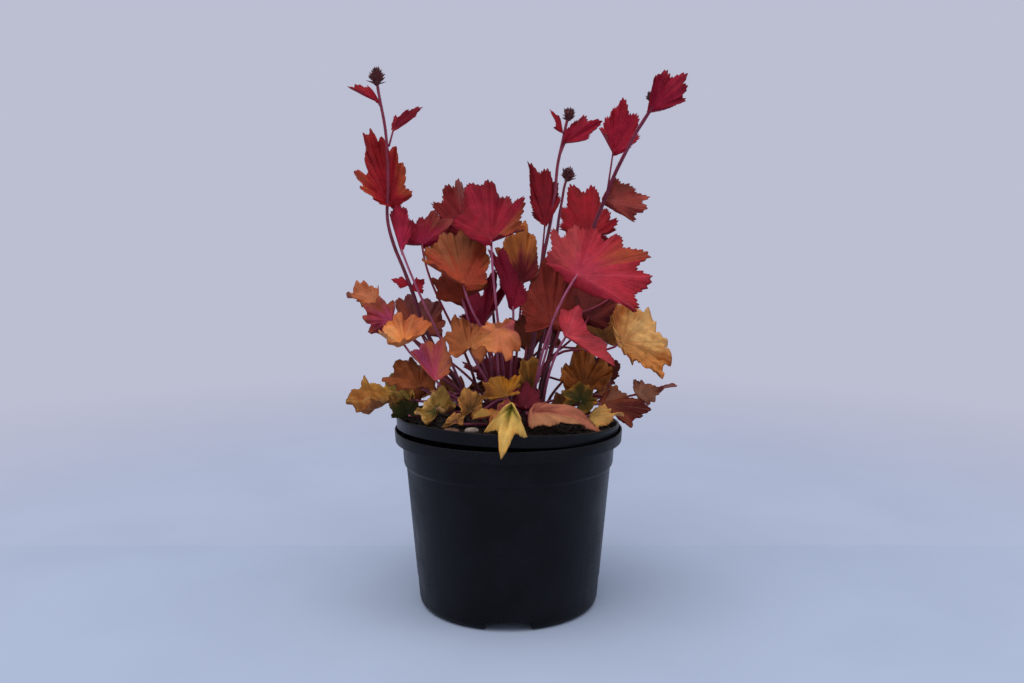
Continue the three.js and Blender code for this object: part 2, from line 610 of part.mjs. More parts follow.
const STEMS = [
  {
    name: "flower_stem_left", colour: "rust", radius: 1.5,
    path: [[-56, 206, 2], [-71, 236, 4], [-79, 261, 4], [-86, 280, 6], [-94, 300, 8],
      [-99, 322, 10], [-98, 350, 10], [-98, 372, 10], [-100, 396, 10], [-103, 414, 10], [-105, 425, 10]],
    bracts: [
      { at: [-97, 334, 12], ...soft,
        lobes: [[-108, 335, 8], [-121, 347, 6], [-124, 361, 10], [-116, 379, 14], [-113, 396, 18],
          [-93, 382, 18], [-86, 369, 14], [-80, 341, 10]] },
      { at: [-104, 415, 10], ...sharp,
        lobes: [[-112, 420, 6], [-130, 426, 6], [-123, 431, 10], [-111, 430, 14]] },
      { at: [-93, 394, 8], ...sharp, twig: [-97, 380, 10],
        lobes: [[-92, 403, 4], [-84, 411, 4], [-69, 411, 8], [-77, 405, 12]] },
      { at: [-82, 268, 4], ...sharp,
        lobes: [[-90, 264, 0], [-96, 273, 0], [-88, 275, 6]] },
      { at: [-80, 264, 4], ...sharp,
        lobes: [[-76, 274, 6], [-69, 272, 4], [-70, 260, 0]] },
    ],
    head: { at: [-106, 435, 10], radius: 5, height: 9 },
  },
  {
    name: "flower_stem_right", colour: "crimson", radius: 1.8, root: [26, 18],
    path: [[36, 215, 24], [48, 250, 32], [60, 285, 40], [71, 318, 40], [78, 336, 36],
      [86, 356, 26], [94, 373, 16], [103, 390, 8], [111, 403, 0], [116, 412, -4]],
    bracts: [
      { at: [79, 337, 36], ...sharp,
        lobes: [[87, 353, 40], [101, 346, 40], [116, 341, 36], [113, 328, 32], [104, 321, 30]] },
      { at: [85, 375, 28], ...sharp, twig: [81, 345, 31],
        lobes: [[80, 388, 24], [74, 396, 24], [79, 404, 26], [85, 411, 30], [92, 418, 32], [105, 404, 28],
          [106, 386, 24], [98, 378, 24]] },
      { at: [115, 409, -4], ...sharp,
        lobes: [[119, 436, -12], [124, 441, -14], [144, 438, -18], [145, 428, -20], [143, 416, -18],
          [127, 410, -12]] },
    ],
    head: { at: [115, 419, -1], radius: 3, height: 5 },
  },
  {
    name: "flower_stem_middle", colour: "crimson", radius: 1.5,
    path: [[22, 230, -8], [25, 270, -8], [29, 292, -8], [34, 316, -6], [38, 342, -4],
      [40, 364, -4], [44, 384, -4], [47, 398, -4]],
    bracts: [
      { at: [30, 318, -8], ...sharp, twig: [27, 284, -8],
        lobes: [[20, 322, -10], [17, 342, -8], [18, 354, -6], [15, 367, -2], [31, 361, 0], [42, 352, -2],
          [42, 336, -6]] },
      { at: [46, 383, -6], ...sharp, twig: [41, 371, -4],
        lobes: [[46, 394, -8], [54, 402, -6], [61, 406, -4], [76, 399, -6], [63, 384, -12]] },
      { at: [44, 391, -4], ...sharp,
        lobes: [[36, 394, -6], [37, 401, -4], [33, 409, -2], [42, 404, 0]] },
    ],
    head: { at: [49, 405, -4], radius: 4, height: 6 },
  },
  {
    name: "flower_stem_short", colour: "stem", radius: 1.3,
    path: [[31, 240, 14], [38, 290, 8], [41, 320, 4], [44, 337, 4], [46, 349, 4]],
    bracts: [],
    head: { at: [49, 357, 4], radius: 4.5, height: 6.5 },
  },
];

// ---- roots: where each stalk stands ----

const GOLDEN_ANGLE = Math.PI * (3 - Math.sqrt(5));

// Root places lie on a sunflower spiral over the crown.
function rootPlaces() {
  return Array.from({ length: ROOT_PLACES }, (_, i) => {
    const radius = ROOT_RADIUS * Math.sqrt((i + 0.5) / ROOT_PLACES);
    const angle = i * GOLDEN_ANGLE;
    return new THREE.Vector2(radius * Math.cos(angle), radius * Math.sin(angle));
  });
}

// The stalks keep the order of their blades, left to right and front to back: each in turn takes the free
// root place nearest to its blade's own place in the plant, drawn down to the size of the crown, or
// nearest to the place it names.
function takeRoot(free, blade, root) {
  const drawnDown = new THREE.Vector2(blade.x / SPREAD.x, blade.y / SPREAD.y).clampLength(0, 1);
  const wanted = root ? new THREE.Vector2(...root) : drawnDown.multiplyScalar(ROOT_RADIUS);
  let best = 0;
  free.forEach((candidate, i) => {
    if (candidate.distanceTo(wanted) < free[best].distanceTo(wanted)) best = i;
  });
  return free.splice(best, 1)[0];
}

// ---- building ----

const group = new THREE.Group();
const holes = [];

function add(name, geometry, colour) {
  const mesh = new THREE.Mesh(geometry, material(colour));
  mesh.name = name;
  group.add(mesh);
}

function footAt(root) {
  return new THREE.Vector3(root.x, root.y, STALK_FOOT);
}

// Most leaves stand alone; where a row has a second blade, its stalk forks off at the same root.
function addLeaves(free) {
  for (const leaf of LEAVES) {
    const blades = [bladeOf(leaf)];
    if (leaf.second) blades.push(bladeOf({ ...leaf, ...leaf.second }));
    const root = takeRoot(free, blades[0].at);
    const curves = blades.map((blade) => stalkCurve(footAt(root), blade));
    const stalks = curves.map((curve) => tube(curve, STALK_RADIUS, STALK_STEPS));
    add(leaf.name, join([...blades.map(bladeGeometry), ...stalks]), leaf.colour);
    for (const curve of curves) holes.push({ curve, radius: STALK_RADIUS, steps: STALK_STEPS });
  }
}

function addStems(free) {
  for (const stem of STEMS) {
    const points = stem.path.map(place);
    const root = takeRoot(free, points[0], stem.root);
    const curve = new THREE.CatmullRomCurve3([footAt(root), ...points], false, "centripetal");
    const pieces = [tube(curve, stem.radius, STEM_STEPS)];
    for (const bract of stem.bracts) {
      const blade = bladeOf(bract);
      pieces.push(bladeGeometry(blade));
      if (bract.twig) {
        pieces.push(tube(new THREE.LineCurve3(place(bract.twig), blade.at), TWIG_RADIUS, 1));
      }
    }
    add(stem.name, join(pieces), stem.colour);
    holes.push({ curve, radius: stem.radius, steps: STEM_STEPS });
    addHead(stem);
  }
}

const BUD_SCALES = 8;

// A bud head: an egg-shaped core with pointed scales standing out of it in a spiral.
function addHead({ name, head }) {
  const middle = place(head.at);
  const core = new THREE.IcosahedronGeometry(1, 1).scale(head.radius, head.radius, head.height);
  const pieces = [core];
  for (let i = 0; i < BUD_SCALES; i++) {
    const up = 0.9 - (1.5 * i) / BUD_SCALES; // from near the top to past the middle
    const around = i * GOLDEN_ANGLE;
    const out = new THREE.Vector3(
      Math.sqrt(1 - up * up) * Math.cos(around),
      Math.sqrt(1 - up * up) * Math.sin(around),
      up,
    );
    const scale = new THREE.ConeGeometry(0.4 * head.radius, 1.1 * head.radius, 3);
    const turn = new THREE.Quaternion().setFromUnitVectors(new THREE.Vector3(0, 1, 0), out);
    scale.applyQuaternion(turn);
    scale.translate(out.x * head.radius, out.y * head.radius, out.z * head.height);
    pieces.push(scale);
  }
  const bud = join(pieces.map((piece) => piece.translate(middle.x, middle.y, middle.z)));
  add(name.replace("stem", "head"), bud, "bud");
}

// The outer pot: a band at the rim, a collar below it, a tapering wall and a raised floor.
function outerPotGeometry() {
  const inner = (radius) => radius - WALL;
  const underRim = POT_HEIGHT - RIM_BAND;
  const body = lathe(
    [
      [0, FLOOR_HEIGHT],
      [FOOT_RADIUS - FOOT_RING, FLOOR_HEIGHT],
      [FOOT_RADIUS - FOOT_RING, 0],
      [FOOT_RADIUS - FOOT_ROUND, 0],
      [FOOT_RADIUS - 1, FOOT_ROUND - 1],
      [FOOT_RADIUS, 2 * FOOT_ROUND],
      [BODY_RADIUS, COLLAR_FOOT - 6],
      [COLLAR_RADIUS, COLLAR_FOOT],
      [COLLAR_RADIUS, underRim],
      [RIM_RADIUS, underRim],
      [RIM_RADIUS, POT_HEIGHT],
      [RIM_RADIUS - 1, POT_HEIGHT],
      [RIM_RADIUS - 1, underRim + WALL],
      [inner(COLLAR_RADIUS), underRim + WALL],
      [inner(COLLAR_RADIUS), COLLAR_FOOT],
      [inner(BODY_RADIUS), COLLAR_FOOT - 6],
      [inner(FOOT_RADIUS), FLOOR_HEIGHT + WALL],
      [0, FLOOR_HEIGHT + WALL],
    ],
    POT_SIDES,
  );
  const notches = Array.from({ length: NOTCH_COUNT }, (_, i) => {
    const notch = new THREE.BoxGeometry(NOTCH_WIDTH, 2 * FOOT_RING, 2 * NOTCH_HEIGHT);
    notch.translate(0, -(FOOT_RADIUS - FOOT_RING / 2), 0);
    return notch.rotateZ((i * 2 * Math.PI) / NOTCH_COUNT);
  });
  return cut(body, notches);
}

// Turns a piece made upright under the inner rim into the inner pot's lean.
function leaned(geometry) {
  geometry.rotateX(THREE.MathUtils.degToRad(-INNER_TILT_BACK));
  geometry.rotateY(THREE.MathUtils.degToRad(INNER_TILT_RIGHT));
  return geometry.translate(...INNER_TOP.toArray());
}

const wallSlope = (INNER_COLLAR_RADIUS - INNER_FOOT_RADIUS) / (INNER_HEIGHT - INNER_RIM_BAND);

// Outer radius of the inner pot's wall at a depth below its rim.
function innerWallAt(depth) {
  return INNER_COLLAR_RADIUS - wallSlope * (depth - INNER_RIM_BAND);
}

function innerPotGeometry() {
  return leaned(
    lathe(
      [
        [0, -INNER_HEIGHT],
        [INNER_FOOT_RADIUS, -INNER_HEIGHT],
        [INNER_COLLAR_RADIUS, -INNER_RIM_BAND],
        [INNER_RIM_RADIUS, -INNER_RIM_BAND],
        [INNER_RIM_RADIUS, 0],
        [INNER_RIM_RADIUS - WALL, 0],
        [INNER_RIM_RADIUS - WALL, WALL - INNER_RIM_BAND],
        [innerWallAt(INNER_RIM_BAND - WALL) - WALL, WALL - INNER_RIM_BAND],
        [INNER_FOOT_RADIUS - WALL, WALL - INNER_HEIGHT],
        [0, WALL - INNER_HEIGHT],
      ],
      POT_SIDES,
    ),
  );
}

// The crown: a low woody dome, with a plain hole for each stalk.
function crownGeometry(play) {
  const radius = CROWN_RADIUS + play;
  return lathe(
    [
      [0, CROWN_FOOT - play],
      [radius - 4, CROWN_FOOT - play],
      [radius, CROWN_FOOT + 5],
      [radius, CROWN_TOP - 8 + play],
      [radius * 0.8, CROWN_TOP - 2 + play],
      [0, CROWN_TOP + play],
    ],
    16,
  );
}

function compostGeometry() {
  const bottom = INNER_HEIGHT - WALL - JOIN_GAP;
  const shoulder = INNER_RIM_BAND - WALL - JOIN_GAP;
  const rimInside = INNER_RIM_RADIUS - WALL - JOIN_GAP;
  const wallInside = (depth) => innerWallAt(depth) - WALL - 2 * JOIN_GAP;
  const fill = leaned(
    lathe(
      [
        [0, -bottom],
        [wallInside(bottom), -bottom],
        [wallInside(shoulder), -shoulder],
        [rimInside, -shoulder],
        [rimInside, -COMPOST_BELOW_RIM - 1],
        [rimInside * 0.8, -COMPOST_BELOW_RIM],
        [0, -COMPOST_BELOW_RIM],
      ],
      POT_SIDES,
    ),
  );
  return cut(fill, [crownGeometry(JOIN_GAP)]);
}

function stoneGeometry([x, y, z], [length, width, height], turn) {
  const stone = new THREE.IcosahedronGeometry(0.5, 1).scale(length, width, height);
  return stone.rotateZ(THREE.MathUtils.degToRad(turn)).translate(x, y, z);
}

add("outer_pot", outerPotGeometry(), "pot");
add("inner_pot", innerPotGeometry(), "pot");
add("compost", compostGeometry(), "compost");

const free = rootPlaces();
addStems(free);
addLeaves(free);
const holeTubes = holes.map(({ curve, radius, steps }) => tube(curve, radius + HOLE_PLAY, steps));
add("crown", cut(crownGeometry(0), holeTubes), "bark");

add("stone_pale", stoneGeometry([-28, -66, 159.3], [11, 8, 5], 10), "stone");
add("stone_brown", stoneGeometry([-44, -64, 159], [13, 8, 4], -15), "stone");

export default group;
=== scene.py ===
import math

import bpy
import numpy as np
from mathutils import Matrix, Vector, noise


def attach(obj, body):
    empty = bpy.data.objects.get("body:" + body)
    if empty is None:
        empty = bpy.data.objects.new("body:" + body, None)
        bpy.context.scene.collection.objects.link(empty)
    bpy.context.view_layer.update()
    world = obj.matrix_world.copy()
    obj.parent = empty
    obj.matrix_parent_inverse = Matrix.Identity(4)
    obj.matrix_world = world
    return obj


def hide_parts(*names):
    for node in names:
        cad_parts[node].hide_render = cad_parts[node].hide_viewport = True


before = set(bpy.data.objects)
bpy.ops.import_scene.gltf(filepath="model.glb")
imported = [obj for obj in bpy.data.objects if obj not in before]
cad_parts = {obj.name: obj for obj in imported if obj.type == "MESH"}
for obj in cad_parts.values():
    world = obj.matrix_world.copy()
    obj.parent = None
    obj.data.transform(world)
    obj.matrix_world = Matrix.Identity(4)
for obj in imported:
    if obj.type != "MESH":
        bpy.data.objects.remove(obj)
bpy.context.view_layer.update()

bl_info = {
    "name": "Potted Heuchera",
    "version": (1, 0, 0),
    "blender": (4, 5, 0),
    "location": "View3D > Sidebar > Heuchera",
    "description": "Dresses a packed heuchera plant and its two nursery pots for the render",
    "category": "Add Mesh",
}

MM = 0.001
BACKDROP = "#bcbed2"  # the colour seen behind the object

# ---- the plant's places, in millimetres: across, up and depth on a front elevation seen from EYE ----

EYE = np.array((3.0, -810.0, 320.0))
GOLDEN_ANGLE = math.pi * (3 - math.sqrt(5))
ROOT_PLACES = 66
ROOT_RADIUS = 33.0
SPREAD = (100.0, 60.0)  # how far out, across and in depth, a leaf's root reaches the crown's edge
STALK_FOOT = 149.0  # height of a stalk's buried end
STALK_HOLD = 0.35  # share of its reach over which a stalk keeps the direction it ends in
CLEFT_BACK = 0.1  # how far behind the stalk the two halves of a blade meet, as a share of its size
CLEFT_FULLNESS = 0.25  # how far the edge beside the cleft bulges
NARROW_SPAN = 0.42  # lobes nearer to each other than this angle have shallower notches between them
USUAL_SIZE = 32.0  # size of a blade whose teeth are as large as its habit says
TOOTH_SIZES = (0.55, 1.3)
TOOTH_SUNK = 0.75  # share of a tooth that lies inside the edge
SIDE_VEINS = 5.5  # side veins along each main vein
VEIN_SLANT = 5.2
VEIN_RIDGE = 0.45  # height of a main vein's ridge under the blade
VEIN_QUILT = 0.022  # swelling between main veins, as a share of the blade's size
TONE_WANDER = 0.14  # how far the bounds between a blade's tones wander, as a share of its reach
PATCH_SOFTNESS = 0.35  # how softly a patch ends at its sides, in lobes
TURNED_OVER = -0.15  # a blade whose upper side points further down than this shows its underside
STALK_TAPER = (1.55, 1.0)  # thickness at foot and tip, as shares of the radius
STEM_TAPER = (1.3, 0.78)
STALK_OVAL = 0.06  # how far a stalk departs from round
TWIG_RADII = (0.9, 0.75)
STEM_HAIRS = 1.3  # hairs on a flower stem for each on a stalk
HAIR_WIDTH = 0.05
HAIR_LENGTHS = (0.7, 1.5)
SEEDS = {"crumbs": 11, "leaves": 100, "stems": 300, "heads": 500}

# How a blade grows. In shares of its size: wave, ruffle, curl and crinkle of its surface. In millimetres:
# bulge, spacing of its teeth (tooth) and their height (bite). The rest: broad stretches it, lean tips it
# back, notch and round and full shape the gaps between lobes, frills counts the ruffles, rise and sweep
# bend its stalk.
HABIT = dict(broad=1.0, notch=0.16, round=1.6, bulge=0, wave=0.06, lean=0, rise=0.4, sweep=0.35,
             tooth=4.4, bite=1.3, pointed=False, ruffle=0.04, frills=1.35, curl=0.45, crinkle=0.016, full=1.8)
SHARP = dict(notch=0.17, round=1.2, wave=0.05, tooth=4.2, bite=2.3, pointed=True, full=2.4)
SOFT = dict(notch=0.14, round=2.4, wave=0.07, tooth=6.2, bite=1.7, ruffle=0.06, full=1.3)
FRILLED = dict(notch=0.16, round=1.6, wave=0.16, tooth=4.0, bite=1.8, ruffle=0.11, frills=2.3, curl=0.5,
               crinkle=0.05)
OAKEN = dict(SOFT, notch=0.3, full=1.1, bite=2.0)
CRUMPLED = dict(FRILLED, full=1.9, wave=0.18, tooth=5.6, bite=1.2, ruffle=0.15, frills=1.8, curl=0.7,
                crinkle=0.07)
DRAPED = dict(SOFT, notch=0.2, full=1.7, tooth=8.5, bite=1.1, ruffle=0.09, frills=1.5, curl=0.75,
              crinkle=0.04)
FOLDED = dict(DRAPED, curl=0.35, notch=0.12, ruffle=0.12, crinkle=0.06)
FEATHERY = dict(SHARP, notch=0.42, tooth=3.4, bite=3.0, ruffle=0.1, curl=0.7)
CREASED = dict(FRILLED, curl=0.15, crinkle=0.06, frills=3.0, ruffle=0.09)

# Tones at a blade's heart, half way out, at its margin and along its veins, for each hue that has leaves
# without tones of their own.
HUES = {
    "crimson": "#8a1426 #961828 #7e121e #b03c50",
    "rust": "#62281c #6a2c1e #542218 #8a4a38",
    "amber": "#6e3818 #7c3e20 #5e2c16 #96603c",
    "orange": "#a4582a #ac5e2e #93441f #c48a58",
    "salmon": "#ac6642 #b06a48 #984c2c #cc9470",
    "gold": "#946030 #a86c36 #8c4a20 #c89c60",
    "tan": "#7a4c28 #905c30 #8c5424 #b48858",
    "olive": "#26280f #5c5424 #a8742f #8c8a48",
    "dusky": "#5e2022 #682420 #541a1e #843c40",
}

# Tones from foot to tip of the stalks in front, lit, of those behind, darker as painted shade, of the flower
# stems and of their twigs.
STALK_TONES_FRONT_LIT = ("#5c1028", "#a04c6c")
STALK_TONES_BACK_SHADED = ("#480c1a", "#841e38")
STEM_TONES = ("#54122a", "#7c203c")
TWIG_TONES = ("#74203a", "#8c2c4c")


def point(text):
    """A point written as across, up and depth."""
    return tuple(float(part) for part in text.split())


def points(text):
    return [point(part) for part in text.split(",")]


def read_blade(row):
    at = point(row["at"])
    lobes = [tuple(np.add(at, lobe)) for lobe in points(row["lobes"])]
    return {**row, "at": at, "lobes": lobes, "tones": row["tones"].split()}


def leaf(name, hue, habit, at, lobes, second=None, **more):
    """A leaf: its name, hue and habit, where its stalk meets the blade (at) and how far off the tips of its
    lobes are, clockwise as seen on the upper side. A second blade forks off at the same root and takes
    after the first one where its own row is silent.

    Patches of another colour go from one lobe to another, and in from the margin as far as their last
    number says (0 the margin alone, 1 the whole blade).
    """
    first = {**HABIT, **habit, "tones": HUES.get(hue), "at": at, "lobes": lobes, "patches": (), **more}
    rows = [first] + ([{**first, "patches": (), **second}] if second else [])
    return {"name": "leaf_" + name, "hue": hue, "blades": [read_blade(row) for row in rows]}


def bract(habit, at, lobes, **more):
    """A leafy bract of a flower stem; a twig, if it has one, starts at that point of the stem."""
    more = {"tones": HUES["crimson"], "patches": (), **more}
    return read_blade({**HABIT, **habit, "at": at, "lobes": lobes, **more})


LEAVES = [
    leaf("left_tip", "salmon", FOLDED, "-107 253 36",
        "-15 0 -6, -27 4 2, -20 12 10, -11 15 16, -1 13 18",
        rise=0.2, sweep=0.1, lean=0.3, tones="#b46844 #b86c48 #a4502c #d09474",
        second=dict(at="-92 172 22", lobes="8 8 14, -4 6 24, -18 0 20, -22 -4 6, -12 -4 -8", rise=0.4,
            sweep=0.35)),
    leaf("left_round", "magenta", DRAPED, "-97 238 8",
        "4 18 0, -9 21 -4, -22 14 -8, -24 2 -8, -17 -8 -6, -7 -9 -2",
        lean=0.5, tones="#a83a5c #963040 #9a4428 #b86080", patches=[(0, 2.2, "#8a4028", 0.5)]),
    leaf("left_bright", "orange", DRAPED, "-87 218 -32",
        "-13 -5 -10, -21 4 -10, -15 19 -4, -4 33 4, 9 28 6, 23 11 -6",
        lean=0.7, tones="#cc7c40 #d88c54 #c86a30 #e8b078",
        patches=[(2.6, 5, "#aa5430", 0.7), (0, 1.6, "#c88c56", 0.8)]),
    leaf("left_brown", "rust", SOFT, "-73 228 30",
        "-11 -9 -8, -19 12 -4, -19 26 -2, -9 32 2, 5 30 2, 16 21 0, 19 8 -4, 16 -6 -8",
        broad=1.08, lean=0.6, rise=0.2, sweep=0.35, tones="#7c3828 #80392a #6a2e24 #985844",
        patches=[(2.4, 5.2, "#5c2c30", 0.6)]),
    leaf("left_pink", "magenta", SOFT, "-61 189 -44",
        "-19 21 2, -6 31 6, 6 36 4, 13 18 -4, 11 3 -6", lean=0.3, tones="#b03c5c #a84448 #b05c38 #cc7c90",
        patches=[(2.2, 4, "#a05a38", 0.85), (0, 0.8, "#8c3054", 0.8)]),
    leaf("left_amber", "amber", DRAPED, "-74 182 -30",
        "-18 -4 -18, -31 8 -10, -20 20 2, -7 23 10, 7 12 12, 10 -4 0",
        lean=0.5, tones="#884828 #94502c #70381e #ac6c48"),
    leaf("left_low", "olive", CREASED, "-82 172 -4",
        "-13 -4 -28, -39 -6 -20, -54 -1 0, -36 12 22, -18 15 32, -4 12 34",
        tones="#5c5420 #a87434 #c89848 #c8b468",
        patches=[(0.6, 2.4, "#9a5c2c", 0.5), (3.6, 5, "#6c5c24", 0.7)],
        # Painted shade: the second blade's near-black tones stand for the deep shade under the low left leaf.
        second=dict(at="-84 158 -34", lobes="-14 -2 -6, -16 9 -2, -4 14 4, 8 11 4, 12 1 0", rise=1,
            tones="#1c200e #2c2c14 #4a3818 #4c4c28")),
    leaf("stem_magenta", "magenta", SHARP, "-88 297 -2",
        "-10 31 2, -3 40 4, 4 36 4, 8 23 2, 8 11 -2",
        lean=0.4, rise=0.2, sweep=0.1, tones="#9c1c40 #8e1830 #801426 #b03c5c"),
    leaf("left_crimson", "crimson", SHARP, "-71 301 30",
        "-17 -2 -4, -9 17 -2, -2 24 2, 11 25 4, 27 22 4, 21 8 0",
        lean=0.6, tones="#8c1638 #841428 #741020 #a8305a", patches=[(2.6, 4.4, "#80382e", 0.35)]),
    leaf("mid_back", "rust", SHARP, "-34 308 50",
        "-24 10 -4, -29 24 -4, -18 38 -2, -7 44 0, 8 37 2",
        lean=0.5, rise=1, sweep=0.1, tones="#741824 #7c2026 #70201c #9c3c48",
        patches=[(2.8, 4, "#82504a", 0.4)],
        second=dict(at="-24 194 50", lobes="13 4 6, 12 8 19, -2 10 25, -14 6 19, -13 2 6", rise=0.4,
            sweep=0.35)),
    leaf("mid_fan", "crimson", SHARP, "-14 304 -28",
        "-18 3 -8, -31 23 -2, -18 47 6, 0 43 8, 13 41 8, 27 27 2, 28 13 -4, 20 3 -8",
        lean=0.8, tones="#7e1022 #821026 #70101a #a43048", patches=[(5.2, 7, "#8c4426", 0.75)]),
    leaf("mid_amber", "amber", SOFT, "-37 268 -32",
        "-21 9 -10, -34 20 -8, -31 35 -4, -16 46 4, 1 46 6, 17 35 4, 21 17 -2, 18 2 -8",
        lean=0.7, rise=0.8, sweep=0.1, tones="#983c26 #903422 #84401c #a8603c",
        patches=[(2.2, 4.6, "#864a2c", 0.6)]),
    leaf("mid_rust", "rust", SOFT, "-38 256 -10",
        "-19 3 -6, -24 13 -4, -12 24 4, 8 24 6, 20 10 2, 10 4 -4",
        broad=1.1, lean=0.5, tones="#7c2c1c #84301e #702418 #984c38",
        second=dict(at="-9 188 15", lobes="-16 2 0, -12 17 2, 3 23 4, 18 17 2, 20 3 0",
            tones="#501222 #5c1626 #48101c #7c3040")),
    leaf("mid_orange", "orange", SOFT, "11 270 24",
        "-14 6 -6, -20 25 -4, -11 35 0, 3 47 4, 10 34 4, 13 18 2, 12 3 -2",
        broad=1.1, lean=0.4, tones="#641420 #6c1620 #803c20 #8c3440", patches=[(1.2, 4.4, "#a4602c", 0.5)],
        second=dict(at="15 216 2", lobes="-15 8 0, -13 22 2, -2 28 4, 9 23 2, 13 10 0",
            tones="#4e2014 #5c2416 #4c1c12 #7c4028")),
    leaf("mid_magenta", "magenta", SHARP, "4 250 -6",
        "-6 12 -6, -15 39 -2, -4 41 4, 4 18 6, 9 2 0",
        broad=1.25, lean=0.3, tones="#901632 #8c1430 #7c1026 #a83a5c",
        second=dict(at="15 165 -49", lobes="-11 3 2, -9 13 4, 0 17 6, 9 12 4, 11 4 2", rise=0.6,
            sweep=0.1, tones="#5a1424 #681a28 #4c101c #843848")),
    leaf("young", "dusky", FEATHERY, "-20 236 14",
        "-16 2 -4, -24 16 -4, -11 27 2, 6 30 6, 20 28 6, 14 16 2",
        broad=1.25, lean=0.6, tones="#801630 #8c1c38 #741428 #a83c5c"),
    leaf("mid_tan", "tan", DRAPED, "-33 215 -38",
        "-12 -12 -10, -20 10 -4, -13 21 2, -4 23 6, 6 16 4, 9 -12 -8",
        lean=0.7, tones="#9c5c34 #a05834 #844424 #c08858"),
    leaf("front_salmon", "salmon", DRAPED, "-10 231 -48",
        "12 6 4, 21 -7 -4, 9 -23 -12, -1 -27 -15, -21 -19 -12, -12 -4 -4, -3 8 4",
        lean=0.5, rise=0.2, sweep=0.6, tones="#b46640 #bc6c46 #b05c30 #d09070",
        patches=[(0, 0.7, "#98404c", 0.55), (3.2, 4.6, "#b4703f", 0.7)]),
    leaf("front_amber", "gold", CRUMPLED, "-2 175 -44",
        "-20 -3 -12, -21 9 -6, -14 13 0, -3 16 6, 10 15 8, 13 9 4, 10 0 -6",
        tones="#a06424 #b87830 #c88c3c #dcb070",
        patches=[(2.6, 4.4, "#d08828", 0.7), (0, 1, "#804420", 0.5)]),
    leaf("front_green", "olive", CRUMPLED, "17 180 -16",
        "-6 2 -6, -4 27 0, 4 28 6, 8 10 4, 10 -2 -2",
        rise=0.2, sweep=0.1, tones="#26280f #845020 #c08840 #8c7a44"),
    # The star's dark olive heart is partly its own green centre and partly painted shade in its hollow
    # middle.
    leaf("front_star", "gold", {}, "3 165 -84",
        "8 -11 -18, 13 -27 -23, -9 -46 -26, -23 -23 -22, -11 -5 -8",
        notch=0.34, round=0.8, wave=0.06, bulge=6, crinkle=0.03, rise=0.2, sweep=0.1,
        tones="#747028 #d4ac5c #d8a04c #e4c880", patches=[(2.8, 4.2, "#946828", 0.5)]),
    leaf("front_cupped", "olive", CRUMPLED, "-60 164 -56",
        "-10 -12 -12, -19 -3 -2, -8 12 10, 7 16 12, 16 5 2, 9 -4 -8",
        bulge=-5, rise=0.5, sweep=0.1, tones="#2c2c10 #7c5c28 #c89c5c #9c9454",
        patches=[(2.6, 5, "#80602c", 0.6)]),
    leaf("front_curled", "tan", CRUMPLED, "-45 152 -66",
        "-11 -5 -4, -7 2 -2, -1 8 4, 7 5 6, 7 -2 -2",
        rise=0.2, sweep=0.1, tones="#4c2c18 #946438 #c48c4c #b89058"),
    leaf("front_tan", "tan", CRUMPLED, "-32 161 -52",
        "-8 -5 -8, -11 9 -2, -4 22 8, 10 11 6, 10 2 0, 3 -5 -10",
        rise=1, sweep=0.1, tones="#3c2812 #8c5c30 #c8904c #b89058"),
    leaf("front_yellow", "gold", SHARP, "-15 157 -66",
        "-16 -3 -8, -6 7 2, 3 5 8, 8 -5 -4, -2 -8 -12",
        rise=0.4, sweep=0.1, patches=[(0, 1.2, "#ac8440", 0.8), (2.4, 4, "#984c40", 0.6)],
        second=dict(at="-3 162 -60", lobes="-7 -4 -2, -6 5 2, 3 11 8, 9 5 6, 7 -2 0",
            tones="#863c3c #7c2e30 #a06838 #b07468")),
    leaf("front_peach", "salmon", {}, "20 160 -58",
        "4 11 12, 18 9 12, 34 0 10, 61 -11 8, 40 -12 -6, 18 -13 -14, -3 -12 -16",
        notch=0.12, round=2, wave=0.04, bulge=5, rise=0.8, tones="#9c5648 #b06c54 #a06048 #8c3c40",
        patches=[(0, 1.2, "#7c3c34", 0.6), (3.6, 6, "#a87450", 0.6)]),
    leaf("right_fan", "rose", SHARP, "57 276 -54",
        "-26 15 -8, -22 31 -4, -3 42 2, 16 40 6, 32 33 6, 62 25 2, 53 15 -2, 62 1 -6, 50 -24 -14",
        lean=0.8, rise=0.2, sweep=0.6, tones="#9c2a3e #a02434 #8a1a22 #bc4c60",
        patches=[(4.4, 5.6, "#9c4428", 0.6), (0, 2.4, "#983638", 0.7)]),
    leaf("right_cream", "gold", CRUMPLED, "68 158 -36",
        "4 6 6, 16 7 8, 29 1 4, 18 -4 -6, 5 -6 -10",
        rise=0.2, sweep=0.6, tones="#b88c4c #d0a05c #c88848 #e0bc7c"),
    leaf("right_red", "rose", SOFT, "78 168 -14",
        "6 9 10, 19 5 10, 34 7 6, 42 -4 -2, 34 -12 -6, 26 -17 -12, 14 -8 -10",
        rise=0.6, tones="#8c4634 #8c4430 #641418 #b07c5c",
        patches=[(2.4, 4.4, "#501418", 0.7), (0, 1.2, "#986048", 0.7)]),
    leaf("right_thin", "rust", FRILLED, "108 176 2",
        "-2 7 8, 12 9 6, 33 7 -8, 20 2 -14, 6 -5 -12", rise=0.5, tones="#a87860 #a87058 #74302c #c09c80",
        second=dict(at="66 174 70", lobes="14 4 -4, 18 0 12, 6 -6 24, -8 0 20, -12 6 6", rise=0.2)),
    leaf("right_peach", "salmon", SOFT, "80 172 10",
        "-7 12 6, 4 14 10, 11 12 8, 15 2 2, 8 -4 -10", patches=[(0, 1.4, "#541c20", 0.5)]),
    leaf("right_ruffled", "amber", CRUMPLED, "62 180 -22",
        "-17 3 -8, -14 26 2, -5 38 8, 8 39 10, 19 28 8, 25 16 4, 18 1 -4",
        lean=0.6, rise=0.6, sweep=0.35, tones="#5c2c10 #804418 #a0602c #9c6034"),
    leaf("right_green", "olive", CRUMPLED, "61 170 -30",
